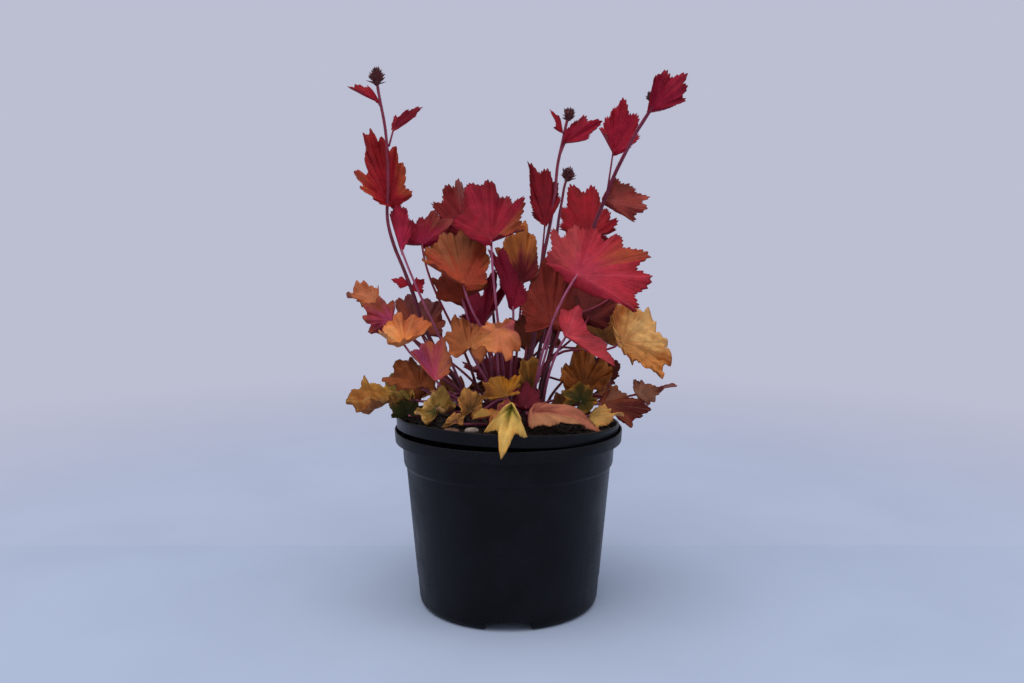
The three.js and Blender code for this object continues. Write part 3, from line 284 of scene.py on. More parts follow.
        "-15 -4 -12, -17 8 -6, -5 14 2, 9 12 4, 13 0 0, 5 -10 -10, -8 -12 -14",
        rise=0.2, sweep=0.1, tones="#1c200c #4c3c18 #9c6828 #6a7038"),
    leaf("right_back", "crimson", SHARP, "66 306 54",
        "-24 6 -4, -23 26 -2, -16 43 4, 5 45 4, 17 25 2, 24 14 0, 21 3 -2",
        lean=0.6, rise=0.4, sweep=0.6, tones="#84121f #8c1220 #780e18 #a82c3c"),
    leaf("mid_brown", "rust", SOFT, "36 236 -34",
        "-22 -10 -8, -26 10 -6, -18 30 -2, -7 51 4, 8 49 6, 17 36 4, 24 14 0, 18 -6 -6",
        lean=0.3, rise=0.2, sweep=0.6, tones="#843028 #802c22 #6c241c #9c5048",
        second=dict(at="46 158 -35", lobes="-10 8 -2, -6 20 0, 3 23 2, 10 16 2, 10 6 0", sweep=0.35,
            tones="#34301a #5c3820 #6a3a20 #7c6038")),
    leaf("right_dusky", "dusky", SOFT, "66 240 30",
        "-14 10 -4, -10 28 0, 8 30 4, 20 22 4, 20 9 0, 14 -5 -4",
        broad=1.12, lean=0.6, rise=0.6, sweep=0.6,
        second=dict(at="42 230 15", lobes="-14 8 -2, -12 24 0, 0 32 2, 14 26 0, 16 10 -2", rise=0.4,
            sweep=0.35, tones="#5a1c20 #60201e #4c1818 #7c3c3c")),
    leaf("right_pink", "rose", SOFT, "48 225 -52",
        "-7 13 -2, -3 25 2, 9 24 6, 18 7 4, 33 -3 2, 39 -27 -8",
        lean=0.2, rise=0.2, sweep=0.35, tones="#c44450 #c43c48 #b83440 #e08088",
        patches=[(3.4, 5, "#9a3038", 0.7)]),
    leaf("right_gold", "gold", FOLDED, "94 220 4",
        "-8 20 6, -3 31 10, 9 29 8, 25 23 2, 37 5 -6, 42 -14 -14, 34 -32 -22, 10 -18 -18",
        lean=0.5, rise=1, sweep=0.1, tones="#bc7c44 #d09858 #c07438 #e4bc7c",
        patches=[(5.2, 7, "#c0783c", 0.6), (0, 1.2, "#a05428", 0.6), (2.4, 4.6, "#dcac6c", 0.7)]),
    leaf("right_tan", "tan", SOFT, "78 222 44",
        "-12 7 -4, -14 22 -2, -2 24 2, 10 26 4, 17 14 2, 10 -7 -4", broad=1.15, lean=0.7,
        second=dict(at="76 188 20", lobes="-11 6 0, -8 18 2, 4 21 4, 15 13 0, 14 2 -2",
            tones="#4c1a18 #521e18 #401412 #744038")),
    leaf("back_left", "amber", SOFT, "-70 184 40",
        "10 14 6, -4 18 22, -20 6 20, -22 -6 6, -6 -10 -6", broad=1.15,
        second=dict(at="-72 228 52", lobes="12 8 8, 6 22 16, -8 24 18, -16 12 14, -12 0 6")),
    leaf("back_centre", "olive", SOFT, "4 184 74",
        "18 2 -2, 16 -8 22, 0 -16 34, -18 -10 24, -20 2 0", rise=0.7,
        second=dict(at="-6 214 66", lobes="16 -2 8, 12 12 18, -2 16 22, -14 10 16, -16 -2 6")),
    leaf("back_right", "rust", SOFT, "66 186 46",
        "18 -4 -2, 14 -2 20, -4 2 32, -18 6 20, -16 10 2", broad=1.2, rise=1, sweep=0.1,
        second=dict(at="74 222 60", lobes="16 4 4, 14 18 14, 2 24 18, -8 18 14, -14 6 6")),
    leaf("back_low", "gold", FRILLED, "-36 180 62",
        "14 8 4, 12 -2 24, -4 -10 34, -18 -4 22, -18 4 4", broad=1.25, rise=0.7,
        second=dict(at="-60 176 70", lobes="10 6 8, 0 4 22, -16 -2 24, -26 -4 10, -16 2 -4", rise=0.5)),
    leaf("back_tall", "orange", SOFT, "-30 220 56",
        "14 -6 6, 16 8 14, 2 16 16, -12 6 10, -10 -10 2", broad=1.2, lean=-0.3, rise=0.2, sweep=0.6,
        second=dict(at="-44 284 46", lobes="12 6 6, 10 18 12, -2 24 16, -16 16 12, -18 2 4")),
    leaf("back_middle", "rust", SOFT, "22 224 64",
        "18 -6 4, 16 8 12, 0 16 16, -16 6 12, -16 -8 4", broad=1.25, lean=-0.3,
        second=dict(at="34 258 50", lobes="16 -2 6, 14 12 14, 2 20 18, -12 14 14, -16 0 6")),
    leaf("back_upper", "crimson", SHARP, "64 284 62",
        "20 6 2, 16 20 10, 2 28 14, -12 20 10, -18 6 2", lean=0.5, rise=0.8, sweep=0.35,
        second=dict(at="92 268 46", lobes="14 6 6, 8 18 14, -2 24 16, -12 20 12, -14 6 4")),
]

STEMS = [
    dict(name="flower_stem_left", hue="rust", radius=1.5,
        path=points("-56 206 2, -71 236 4, -79 261 4, -86 280 6, -94 300 8, -99 322 10, -98 350 10, "
            "-98 372 10, -100 396 10, -103 414 10, -105 425 10"),
        bracts=[
            bract(OAKEN, "-97 334 12",
                "-11 1 -4, -24 13 -6, -29 27 -2, -19 43 2, -21 57 5, -15 62 6, -5 52 6, 6 45 4, 11 32 2, "
                "18 7 -2",
                tones="#8c1420 #981824 #a03424 #b03844",
                patches=[(0.6, 2.2, "#a44428", 0.35), (7.4, 9, "#a04428", 0.4), (2.6, 6.4, "#8c1c20", 0.5)]),
            bract(SHARP, "-104 415 10", "-8 5 -4, -26 11 -4, -19 16 0, -7 15 4"),
            bract(SHARP, "-93 394 8", "1 9 -4, 9 17 -4, 24 17 0, 16 11 4", twig=point("-97 380 10")),
            bract(SHARP, "-82 268 4", "-8 -4 -4, -14 5 -4, -6 7 2"),
            bract(SHARP, "-80 264 4", "4 10 2, 11 8 0, 10 -4 -4"),
        ],
        head=dict(at=point("-106 435 10"), radius=5, height=9)),
    dict(name="flower_stem_right", hue="crimson", radius=1.8, root=(26, 18),
        path=points("36 215 24, 48 250 32, 60 285 40, 71 318 40, 78 336 36, 86 356 26, 94 373 16, "
            "103 390 8, 111 403 0, 116 412 -4"),
        bracts=[
            bract(SHARP, "79 337 36", "8 16 4, 22 9 4, 37 4 0, 34 -9 -4, 25 -16 -6",
                tones="#94403c #9c403a #8c3830 #b86858", patches=[(0, 1.2, "#8e4434", 0.4)]),
            bract(SHARP, "85 375 28",
                "-5 13 -4, -11 21 -4, -6 29 -2, 0 36 2, 7 43 4, 20 29 0, 21 11 -4, 13 3 -4",
                twig=point("81 345 31"), tones="#981830 #98182e #881624 #b8385a"),
            bract(SHARP, "115 409 -4", "4 27 -8, 9 32 -10, 29 29 -14, 30 19 -16, 28 7 -14, 12 1 -8",
                tones="#8c1630 #8c162e #7c1424 #b43458"),
        ],
        head=dict(at=point("115 419 -1"), radius=3, height=5)),
    dict(name="flower_stem_middle", hue="crimson", radius=1.5,
        path=points("22 230 -8, 25 270 -8, 29 292 -8, 34 316 -6, 38 342 -4, 40 364 -4, 44 384 -4, "
            "47 398 -4"),
        bracts=[
            bract(SHARP, "30 318 -8", "-10 4 -2, -13 24 0, -12 36 2, -15 49 6, 1 43 8, 12 34 6, 12 18 2",
                twig=point("27 284 -8"), tones="#7e1824 #7c1622 #6c1018 #a43844"),
            bract(SHARP, "46 383 -6", "0 11 -2, 8 19 0, 15 23 2, 30 16 0, 17 1 -6",
                twig=point("41 371 -4"), tones="#861026 #881028 #740c1e #ac2c4c"),
            bract(SHARP, "44 391 -4", "-8 3 -2, -7 10 0, -11 18 2, -2 13 4"),
        ],
        head=dict(at=point("49 405 -4"), radius=4, height=6)),
    dict(name="flower_stem_short", hue="stem", radius=1.3,
        path=points("31 240 14, 38 290 8, 41 320 4, 44 337 4, 46 349 4"),
        bracts=[],
        head=dict(at=point("49 357 4"), radius=4.5, height=6.5)),
]

# ---- colours, objects and shader nodes ----


def linear(hex_code):
    """A hex colour as linear red, green, blue and full opacity."""
    parts = [int(hex_code[i : i + 2], 16) / 255 for i in (1, 3, 5)]
    return (*(c / 12.92 if c <= 0.04045 else ((c + 0.055) / 1.055) ** 2.4 for c in parts), 1.0)


def rgb(hex_code):
    return np.array(linear(hex_code)[:3])


def assign(thing, **values):
    """Sets a thing's properties and gives it back."""
    for name, value in values.items():
        setattr(thing, name, value)
    return thing


def add_object(name, data, **values):
    """An object that holds this data, linked to the scene."""
    made = assign(bpy.data.objects.new(name, data), **values)
    bpy.context.collection.objects.link(made)
    return made


def add_mesh(name, places, faces):
    """A mesh from places given in millimetres."""
    mesh = bpy.data.meshes.new(name)
    mesh.from_pydata((np.vstack(places) * MM).tolist(), [], faces)
    return mesh


def empty_tree(owner):
    """The cleared node tree of a material or world."""
    owner.use_nodes = True
    owner.node_tree.nodes.clear()
    return owner.node_tree


def add_node(tree, kind, inputs=None, **settings):
    """Adds a shader node, sets its properties, and sets or links its inputs. Texts are hex colours."""
    made = assign(tree.nodes.new("ShaderNode" + kind), **settings)
    for name, value in (inputs or {}).items():
        if isinstance(value, bpy.types.NodeSocket):
            tree.links.new(value, made.inputs[name])
        else:
            made.inputs[name].default_value = linear(value) if isinstance(value, str) else value
    return made


class Shader:
    """A new node material, with short ways to add nodes to it. Sizes are in millimetres."""

    def __init__(self, name):
        self.material = bpy.data.materials.new(name)
        self.tree = empty_tree(self.material)
        self.coords = self.add("TexCoord").outputs["Object"]

    def add(self, kind, inputs=None, **settings):
        return add_node(self.tree, kind, inputs, **settings)

    def attribute(self, name, output="Color"):
        return self.add("Attribute", attribute_name=name).outputs[output]

    def parts(self, vector):
        """The X, Y and Z of a vector."""
        return self.add("SeparateXYZ", {"Vector": vector}).outputs

    def cells(self, scale, **settings):
        """A cell pattern; its outputs are Distance and Color."""
        return self.add("TexVoronoi", {"Vector": self.coords, "Scale": scale}, **settings).outputs

    def drawn_out(self, share):
        """Coordinates that draw a texture out along the upright axis."""
        return self.add("Mapping", {"Vector": self.coords, "Scale": (1.0, 1.0, share)}).outputs["Vector"]

    def noise(self, size, detail=2.0, roughness=0.5, at=None):
        """Noise whose lumps are about this large."""
        vector = self.coords if at is None else at
        settings = {"Scale": 1 / (size * MM), "Detail": detail, "Roughness": roughness}
        return self.add("TexNoise", {"Vector": vector, **settings}).outputs["Fac"]

    def span(self, value, low, high, to_low=0.0, to_high=1.0, smooth=True):
        """Maps low..high to to_low..to_high and holds it there outside."""
        kind = "SMOOTHSTEP" if smooth else "LINEAR"
        inputs = {"Value": value, "From Min": low, "From Max": high, "To Min": to_low, "To Max": to_high}
        return self.add("MapRange", inputs, interpolation_type=kind).outputs["Result"]

    def mottle(self, size, low=0.0, high=1.0, **noise_settings):
        """Noise with more contrast, spread over low..high."""
        return self.span(self.noise(size, **noise_settings), 0.3, 0.7, low, high)

    def math(self, operation, first, second=0.0):
        return self.add("Math", {0: first, 1: second}, operation=operation).outputs[0]

    def times(self, first, second):
        return self.math("MULTIPLY", first, second)

    def mix(self, factor, first, second, blend_type="MIX"):
        """Two colours mixed by a factor."""
        inputs = {0: factor, 6: first, 7: second}
        return self.add("Mix", inputs, data_type="RGBA", blend_type=blend_type).outputs[2]

    def shaded(self, colour, shade):
        """A colour made lighter or darker by a grey."""
        grey = self.add("CombineColor", {"Red": shade, "Green": shade, "Blue": shade}).outputs["Color"]
        return self.mix(1.0, colour, grey, "MULTIPLY")

    def bump(self, height, depth, strength=0.6):
        """Relief of this depth."""
        inputs = {"Height": height, "Distance": depth * MM, "Strength": strength}
        return self.add("Bump", inputs).outputs["Normal"]

    def finish(self, colour, bump=None, **inputs):
        """Ends the material in the Principled shader and hands it over."""
        named = {name.replace("_", " "): value for name, value in inputs.items()}
        shader = self.add("BsdfPrincipled", {"Base Color": colour, **named})
        if bump:
            self.tree.links.new(bump, shader.inputs["Normal"])
        self.add("OutputMaterial", {"Surface": shader.outputs["BSDF"]})
        return self.material


def leaf_material():
    """Heuchera leaf: colour laid on the mesh, with veins, puckers and mottling drawn over it by nodes.

    The blade's map runs from lobe to lobe in u and from the stalk to the margin in v, so a main vein lies
    where u is whole, side veins leave it in chevrons, and the finest net comes from a cell pattern. The
    back of the leaf is paler and duller. It looks thin, soft and faintly quilted, with painted shade a little
    darker along the main veins, where the blade folds down, and a little lighter on the swellings between
    them.
    """
    m = Shader("heuchera_leaf_blade")
    station, reach, _ = m.parts(m.add("UVMap", uv_map="blade").outputs["UV"])
    aside = m.math("ABSOLUTE", m.math("SUBTRACT", station, m.math("ROUND", station)))
    main_vein = m.span(m.times(aside, reach), 0.004, 0.026, 1.0, 0.0)
    along = m.math("SUBTRACT", m.times(reach, SIDE_VEINS), m.times(aside, VEIN_SLANT))
    chevron = m.math("PINGPONG", m.math("ADD", along, m.times(m.noise(5.0), 0.5)), 0.5)
    side_vein = m.times(m.span(chevron, 0.02, 0.1, 1.0, 0.0), m.span(reach, 0.12, 0.3))
    fine_vein = m.span(m.cells(420.0, feature="DISTANCE_TO_EDGE")["Distance"], 0.03, 0.16, 1.0, 0.0)
    veins = m.math("MAXIMUM", main_vein, m.times(side_vein, 0.42))
    veins = m.math("MAXIMUM", veins, m.times(fine_vein, 0.14))
    shade = m.times(m.mottle(9.0, 0.82, 1.14, detail=3.0), m.mottle(0.9, 0.93, 1.06))
    # Painted shade: a little darker along the main veins, where the blade folds down into creases, and a
    # little lighter on the swellings between them.
    crease_shaded = m.times(shade, m.span(aside, 0.0, 0.4, 0.97, 1.02))
    pigment = m.shaded(m.attribute("pigment"), crease_shaded)
    colour = m.mix(m.times(veins, 0.34), pigment, m.attribute("vein_tint"))
    colour = m.mix(m.attribute("underside", "Fac"), colour, m.mix(0.22, colour, "#8c404c"))
    margin = m.span(reach, 0.965, 1.0, 0.0, 0.45)
    colour = m.mix(margin, colour, m.mix(1.0, colour, "#8a4a44", "MULTIPLY"))
    height = m.math("SUBTRACT", m.times(m.noise(2.6), 0.8), m.times(veins, 0.25))
    return m.finish(colour, m.bump(height, 0.3), Roughness=m.mottle(1.6, 0.52, 0.7), Specular_IOR_Level=0.1,
                    Subsurface_Weight=0.12, Subsurface_Radius=(1.0, 0.35, 0.2), Subsurface_Scale=1.2 * MM)


def stalk_material():
    """Fleshy stalk: colour from a dark foot to a pinker top, darker on the stalks behind as painted shade,
    long fine streaks and a soft damp gloss.
    """
    m = Shader("heuchera_stalk")
    streaks = m.mottle(0.6, 0.75, 1.2, at=m.drawn_out(0.12))
    colour = m.shaded(m.attribute("pigment"), m.times(streaks, m.mottle(7.0, 0.85, 1.1)))
    return m.finish(colour, m.bump(streaks, 0.12), Roughness=0.45, Specular_IOR_Level=0.4,
                    Subsurface_Weight=0.1, Subsurface_Radius=(1.0, 0.4, 0.3), Subsurface_Scale=0.8 * MM)


def hair_material():
    """Fine hairs on the stalks: pale pink, catching the light as a soft fuzz."""
    m = Shader("heuchera_stalk_hair")
    return m.finish(m.mix(m.noise(3.0), "#8c5068", "#c89ca8"), Roughness=0.5, Specular_IOR_Level=0.3)


def plant_materials():
    """What blades, stalks and hairs are made of, in the order of a piece's slots. Each is made once."""
    makers = {"heuchera_leaf_blade": leaf_material, "heuchera_stalk": stalk_material,
              "heuchera_stalk_hair": hair_material}
    return [bpy.data.materials.get(name) or make() for name, make in makers.items()]


def bud_material():
    """Bud scales: dark red-brown with crimson tips and a little bloom, leathery and matt."""
    m = Shader("heuchera_bud_scale")
    tone = m.span(m.noise(2.2, 3.0), 0.35, 0.65)
    bloom = m.span(m.noise(0.7, 3.0), 0.55, 0.75, 0.0, 0.35)
    colour = m.mix(bloom, m.mix(tone, "#30080e", "#5a121c"), "#74262c")
    return m.finish(colour, m.bump(tone, 0.25), Roughness=0.62, Specular_IOR_Level=0.3, Sheen_Weight=0.15)


def pot_material(name, body, dust):
    """Moulded black polypropylene: blue-black with a satin skin, faint flow marks running up the wall,
    dull handling marks, a film of dry compost dust and a few pale specks."""
    m = Shader(name)
    flow = m.mottle(4.0, detail=4.0, at=m.drawn_out(0.08))
    film = m.times(m.span(m.noise(38.0, 4.0), 0.35, 0.7), m.span(m.noise(1.6, 4.0), 0.4, 0.7, 0.3, 1.0))
    specks = m.cells(85.0)
    speck = m.times(m.span(specks["Distance"], 0.03, 0.055, 1.0, 0.0),
                    m.times(m.span(specks["Color"], 0.86, 0.9), 0.6))
    colour = m.mix(speck, m.mix(m.times(film, 0.1), body, dust), "#8c8478")
    height = m.math("ADD", m.times(m.noise(0.45, 3.0, 0.6), 0.5), m.times(flow, 0.3))
    roughness = m.math("ADD", m.span(film, 0.0, 0.8, 0.3, 0.5, smooth=False), m.times(flow, 0.06))
    return m.finish(colour, m.bump(height, 0.05, 0.5), Roughness=roughness, Specular_IOR_Level=0.13)


def compost_material():
    """Peat-free compost: near-black brown crumb with paler fibres and damp patches; matt and rough."""
    m = Shader("compost_crumb")
    lumps = m.noise(3.5, 6.0, 0.65)
    fibres = m.add("TexWave", {"Vector": m.coords, "Scale": 60.0, "Distortion": 18.0, "Detail": 3.0})
    thread = m.times(m.span(fibres.outputs["Fac"], 0.93, 0.99, 0.0, 0.6), m.span(m.noise(6.0), 0.5, 0.62))
    colour = m.mix(thread, m.mix(m.span(lumps, 0.35, 0.65), "#120a08", "#33221a"), "#6a4c34")
    height = m.math("ADD", lumps, m.times(m.mottle(0.8, detail=4.0, roughness=0.7), 0.5))
    damp = m.span(m.noise(18.0), 0.35, 0.6, 0.65, 0.95)
    return m.finish(colour, m.bump(height, 1.2, 0.9), Roughness=damp, Specular_IOR_Level=0.25)


def bark_material():
    """Woody crown: brown bark with dark cracks between flakes and pinkish scars of old stalks."""
    m = Shader("crown_bark")
    crack = m.span(m.cells(260.0, feature="DISTANCE_TO_EDGE")["Distance"], 0.02, 0.2, 1.0, 0.0)
    tone = m.mottle(3.0, detail=5.0, roughness=0.6)
    scars = m.span(m.noise(5.0), 0.58, 0.66, 0.0, 0.5)
    colour = m.mix(crack, m.mix(scars, m.mix(tone, "#2c1a16", "#5a3828"), "#7c4448"), "#120806")
    return m.finish(colour, m.bump(m.math("SUBTRACT", tone, crack), 0.6, 0.9), Roughness=0.85)


def stone_material(name, pale, dark):
    """River gravel: two tones in soft clouds, fine dark grains and a dry, slightly rough skin."""
    m = Shader(name)
    grains = m.span(m.noise(0.5, 3.0, 0.7), 0.6, 0.7, 0.0, 0.5)
    colour = m.mix(grains, m.mix(m.mottle(4.0, detail=4.0), dark, pale), "#3a322c")
    return m.finish(colour, m.bump(grains, 0.1, 0.7), Roughness=0.7)


def stage_material(name, tone, far_tone, line_at):
    """Pale painted board, cooler this side of a line on it and faintly mottled. Far out it glows in the
    backdrop's own colour, so floor and backdrop meet without an edge."""
    m = Shader(name)
    beyond = m.span(m.parts(m.coords)["Y"], line_at - 1.5 * MM, line_at + 1.5 * MM)
    colour = m.shaded(m.mix(beyond, tone, far_tone), m.mottle(160.0, 0.97, 1.02, detail=4.0))
    board = m.add("BsdfPrincipled", {"Base Color": colour, "Roughness": 0.9, "Specular IOR Level": 0.1})
    distance = m.add("VectorMath", {0: m.coords}, operation="LENGTH").outputs["Value"]
    glow = m.add("Emission", {"Color": BACKDROP, "Strength": 1.0})
    far = m.span(distance, 0.3, 1.3)
    both = m.add("MixShader", {0: far, 1: board.outputs["BSDF"], 2: glow.outputs["Emission"]})
    m.add("OutputMaterial", {"Surface": both.outputs["Shader"]})
    return m.material


# ---- shapes of the plant, in millimetres ----


def place(at):
    """A point given by across, up and depth, as x, y, z."""
    on_plane = np.array((at[0], 0.0, at[1]), float)
    return EYE + (on_plane - EYE) * (1 - at[2] / EYE[1])


def unit(vector):
    return vector / max(np.linalg.norm(vector), 1e-9)


def lengths(vectors):
    return np.linalg.norm(vectors, axis=-1)[..., None]


def ease(value, low=0.0, high=1.0):
    """Rises smoothly from 0 at low to 1 at high."""
    share = np.clip((value - low) / (high - low), 0, 1)
    return share * share * (3 - 2 * share)


def measured(row):
    """A blade's row with its tips, size, cleft and upper side worked out."""
    origin = place(row["at"])
    up = row["at"][1]
    tips = [(place((a, u, d + row["lean"] * (u - up))) - origin) * row["broad"] for a, u, d in row["lobes"]]
    size = sum(np.linalg.norm(tip) for tip in tips) / len(tips)
    fan = unit(sum(tips))
    normal = unit(sum(np.cross(tips[i], tips[i - 1]) for i in range(1, len(tips))))
    return {**row, "origin": origin, "tips": tips, "size": size, "fan": fan, "normal": normal,
            "cleft": -CLEFT_BACK * size * fan}


def toothed(t, count, blade, rng):
    """How far the edge stands out, in millimetres, at each share t of an edge with this many teeth."""
    phase = t * count
    nearest = np.round(phase)
    off = 2 * np.abs(phase - nearest)
    tooth = 1 - off**1.15 if blade["pointed"] else np.sqrt(np.clip(1 - off**2 * 0.98, 0, 1))
    size = rng.uniform(*TOOTH_SIZES, count + 1)[nearest.astype(int)]
    return blade["bite"] * min(1.15, (blade["size"] / USUAL_SIZE) ** 0.7) * size * (tooth - TOOTH_SUNK)


def blade_edge(blade, step, rng):
    """Points round the edge from the cleft and back to it, with their station and their wave."""
    tips, cleft, size = blade["tips"], blade["cleft"], blade["size"]
    edges, stations, lifts = [], [], []

    def beside_cleft(tip, outward):
        length = np.linalg.norm(tip - cleft)
        count = max(5, round(length / step))
        t = np.arange(count) / count
        share = t if outward else 1 - t
        fullness = 1 + CLEFT_FULLNESS * np.sin(np.pi * share)
        edge = (cleft + (tip - cleft) * share[:, None]) * fullness[:, None]
        teeth = toothed(share, max(1, round(length / blade["tooth"])), blade, rng) * share
        edges.append(edge + edge / np.maximum(lengths(edge), 1) * teeth[:, None])
        stations.append(t - 1 if outward else len(tips) - 1 + t)
        lifts.append(np.zeros(count))

    beside_cleft(tips[0], True)
    for k, (a, b) in enumerate(zip(tips, tips[1:])):
        la, lb = np.linalg.norm(a), np.linalg.norm(b)
        angle = math.acos(max(-1, min(1, float(np.dot(unit(a), unit(b))))))
        arc = 0.5 * (la + lb) * angle + abs(la - lb)
        teeth = max(2, round(arc / blade["tooth"]))
        count = max(2 * teeth * (2 if blade["pointed"] else 3), round(arc / step))
        count = math.ceil(count / (2 * teeth)) * 2 * teeth
        t = np.arange(count) / count
        direction = unit(a) * (1 - t)[:, None] + unit(b) * t[:, None]
        direction /= lengths(direction)
        notch = blade["notch"] * min(1, angle / NARROW_SPAN)
        drawn_in = 1 - notch * np.sin(np.pi * t) ** (blade["round"] * blade["full"])
        length = (la * (1 - t) + lb * t) * drawn_in + toothed(t, teeth, blade, rng)
        edges.append(direction * length[:, None])
        stations.append(k + t)
        lifts.append((-1 if k % 2 else 1) * blade["wave"] * size * np.sin(np.pi * t))
    beside_cleft(tips[-1], False)
    return np.vstack(edges), np.concatenate(stations), np.concatenate(lifts)


def swell(stations, per_station, rng):
    """A smooth wandering wave along the edge, between about -1 and 1."""
    total = np.zeros_like(stations)
    for harmonic in (1.0, 1.63, 2.41):
        total += np.sin(2 * np.pi * (per_station * harmonic * stations + rng.uniform())) / harmonic
    return total / 1.8


def crinkled(places, rng):
    """A smooth random relief over the places, between about -1 and 1, in waves 6 to 15 mm long."""
    total = np.zeros(places.shape[:-1])
    for _ in range(6):
        heading = unit(rng.normal(size=3)) * 2 * np.pi / rng.uniform(6, 15)
        total += np.sin(places @ heading + rng.uniform(0, 2 * np.pi))
    return total / 3


def blade_colours(blade, reach, stations, rng):
    """Colour and vein colour over the blade, as linear colours for each ring and station."""
    heart, middle, margin, vein = map(rgb, blade["tones"])
    wander = TONE_WANDER * swell(stations, 0.8, rng)[None, :]
    out = reach[:, None] + wander
    colour = heart + (middle - heart) * ease(out, 0.15, 0.6)[..., None]
    colour = colour + (margin - colour) * ease(out + 0.5 * wander, 0.72, 1.08)[..., None]
    for first, last, code, depth in blade["patches"]:
        past = [ease(stations, side - PATCH_SOFTNESS, side + PATCH_SOFTNESS) for side in (first, last)]
        weight = (past[0] * (1 - past[1]))[None, :] * ease(out, 1.0 - depth - 0.2, 1.0 - depth + 0.25)
        colour = colour + (rgb(code) - colour) * weight[..., None] * 0.9
    return colour, np.broadcast_to(vein, colour.shape)


class Growth:
    """Gathers the points, faces and colours of one piece of the plant."""

    def __init__(self):
        self.points, self.faces, self.maps, self.slots = [], [], [], []
        self.pigment, self.vein, self.under = [], [], []
        self.count = 0

    def take(self, places, faces, maps, slot, pigment, vein=None, under=None):
        places = np.asarray(places, float)
        count = len(places)
        self.points.append(places)
        self.faces.extend([tuple(i + self.count for i in face) for face in faces])
        self.maps.extend(maps)
        self.slots.extend([slot] * len(faces))
        self.pigment.append(np.broadcast_to(pigment, (count, 3)))
        self.vein.append(np.broadcast_to(pigment if vein is None else vein, (count, 3)))
        self.under.append(np.zeros(count) if under is None else under)
        self.count += count

    def made(self, name, materials):
        """The piece as a Blender object, in metres."""
        mesh = add_mesh(name, self.points, self.faces)
        mesh.polygons.foreach_set("material_index", self.slots)
        mesh.polygons.foreach_set("use_smooth", [True] * len(self.faces))
        layer = mesh.uv_layers.new(name="blade")
        layer.data.foreach_set("uv", np.array([uv for face in self.maps for uv in face], float).ravel())
        for title, values in (("pigment", self.pigment), ("vein_tint", self.vein)):
            colours = np.pad(np.vstack(values), ((0, 0), (0, 1)), constant_values=1)
            mesh.attributes.new(title, "FLOAT_COLOR", "POINT").data.foreach_set("color", colours.ravel())
        under = mesh.attributes.new("underside", "FLOAT", "POINT")
        under.data.foreach_set("value", np.concatenate(self.under))
        for material in materials:
            mesh.materials.append(material)
        return add_object(name, mesh)


def sheet_heights(blade, edge, stations, lifts, reach, pucker, rng):
    """How far each point of a blade stands above its flat form: arch, waves, ruffles, curls and puckers."""
    size, ring = blade["size"], reach[:, None]
    beside = np.abs(stations - np.round(stations))
    ruffle = blade["ruffle"] * size * swell(stations, blade["frills"], rng)
    lobe_curls = rng.uniform(-0.5, 0.5, len(blade["tips"]) + 1) * blade["curl"] * size
    lobe = np.clip(stations, 0, len(blade["tips"]) - 1)
    this, onward = lobe.astype(int), ease(lobe - np.floor(lobe))
    curl = lobe_curls[this] * (1 - onward) + lobe_curls[this + 1] * onward
    quilt = VEIN_QUILT * size * (np.sin(np.pi * beside) - 0.5)
    height = (4 * blade["bulge"] * ring * (1 - ring) + lifts * ring**2 + ruffle * ring**3
              + curl * ring**2.2 + quilt * ring * (1.25 - ring) * 1.6)
    chevron = np.abs(((ring * SIDE_VEINS - beside * VEIN_SLANT) % 1.0) - 0.5) * 2
    height = height + pucker * (0.5 - chevron) * ring * (1.1 - ring) * 2 * min(1, size / 30)
    flat = ring[..., None] * edge[None]
    return flat, height + blade["crinkle"] * size * crinkled(flat, rng) * np.sqrt(ring)


def blade_faces(columns, stations, reach, tips):
    """Faces and map of a blade: fans at its heart, quads between its rings, and a rim round its edge."""
    rings = len(reach)
    half = 1 + rings * columns
    ends = np.append(stations, tips)
    faces, maps = [], []
    for c in range(columns):
        d = (c + 1) % columns
        s, e = float(stations[c]), float(ends[c + 1])
        mid, r = (s + e) / 2, float(reach[0])
        faces += [(0, 1 + d, 1 + c), (half, half + 1 + c, half + 1 + d)]
        maps += [((mid, 0), (e, r), (s, r)), ((mid, 0), (s, r), (e, r))]
        for j in range(rings - 1):
            a, b = 1 + j * columns + c, 1 + (j + 1) * columns + c
            a2, b2 = 1 + j * columns + d, 1 + (j + 1) * columns + d
            r, q = float(reach[j]), float(reach[j + 1])
            faces += [(a, a2, b2, b), (half + a, half + b, half + b2, half + a2)]
            maps += [((s, r), (e, r), (e, q), (s, q)), ((s, r), (s, q), (e, q), (e, r))]
        b, b2 = 1 + (rings - 1) * columns + c, 1 + (rings - 1) * columns + d
        faces.append((b, b2, half + b2, half + b))
        maps.append(((s, 1), (e, 1), (e, 1), (s, 1)))
    return faces, maps


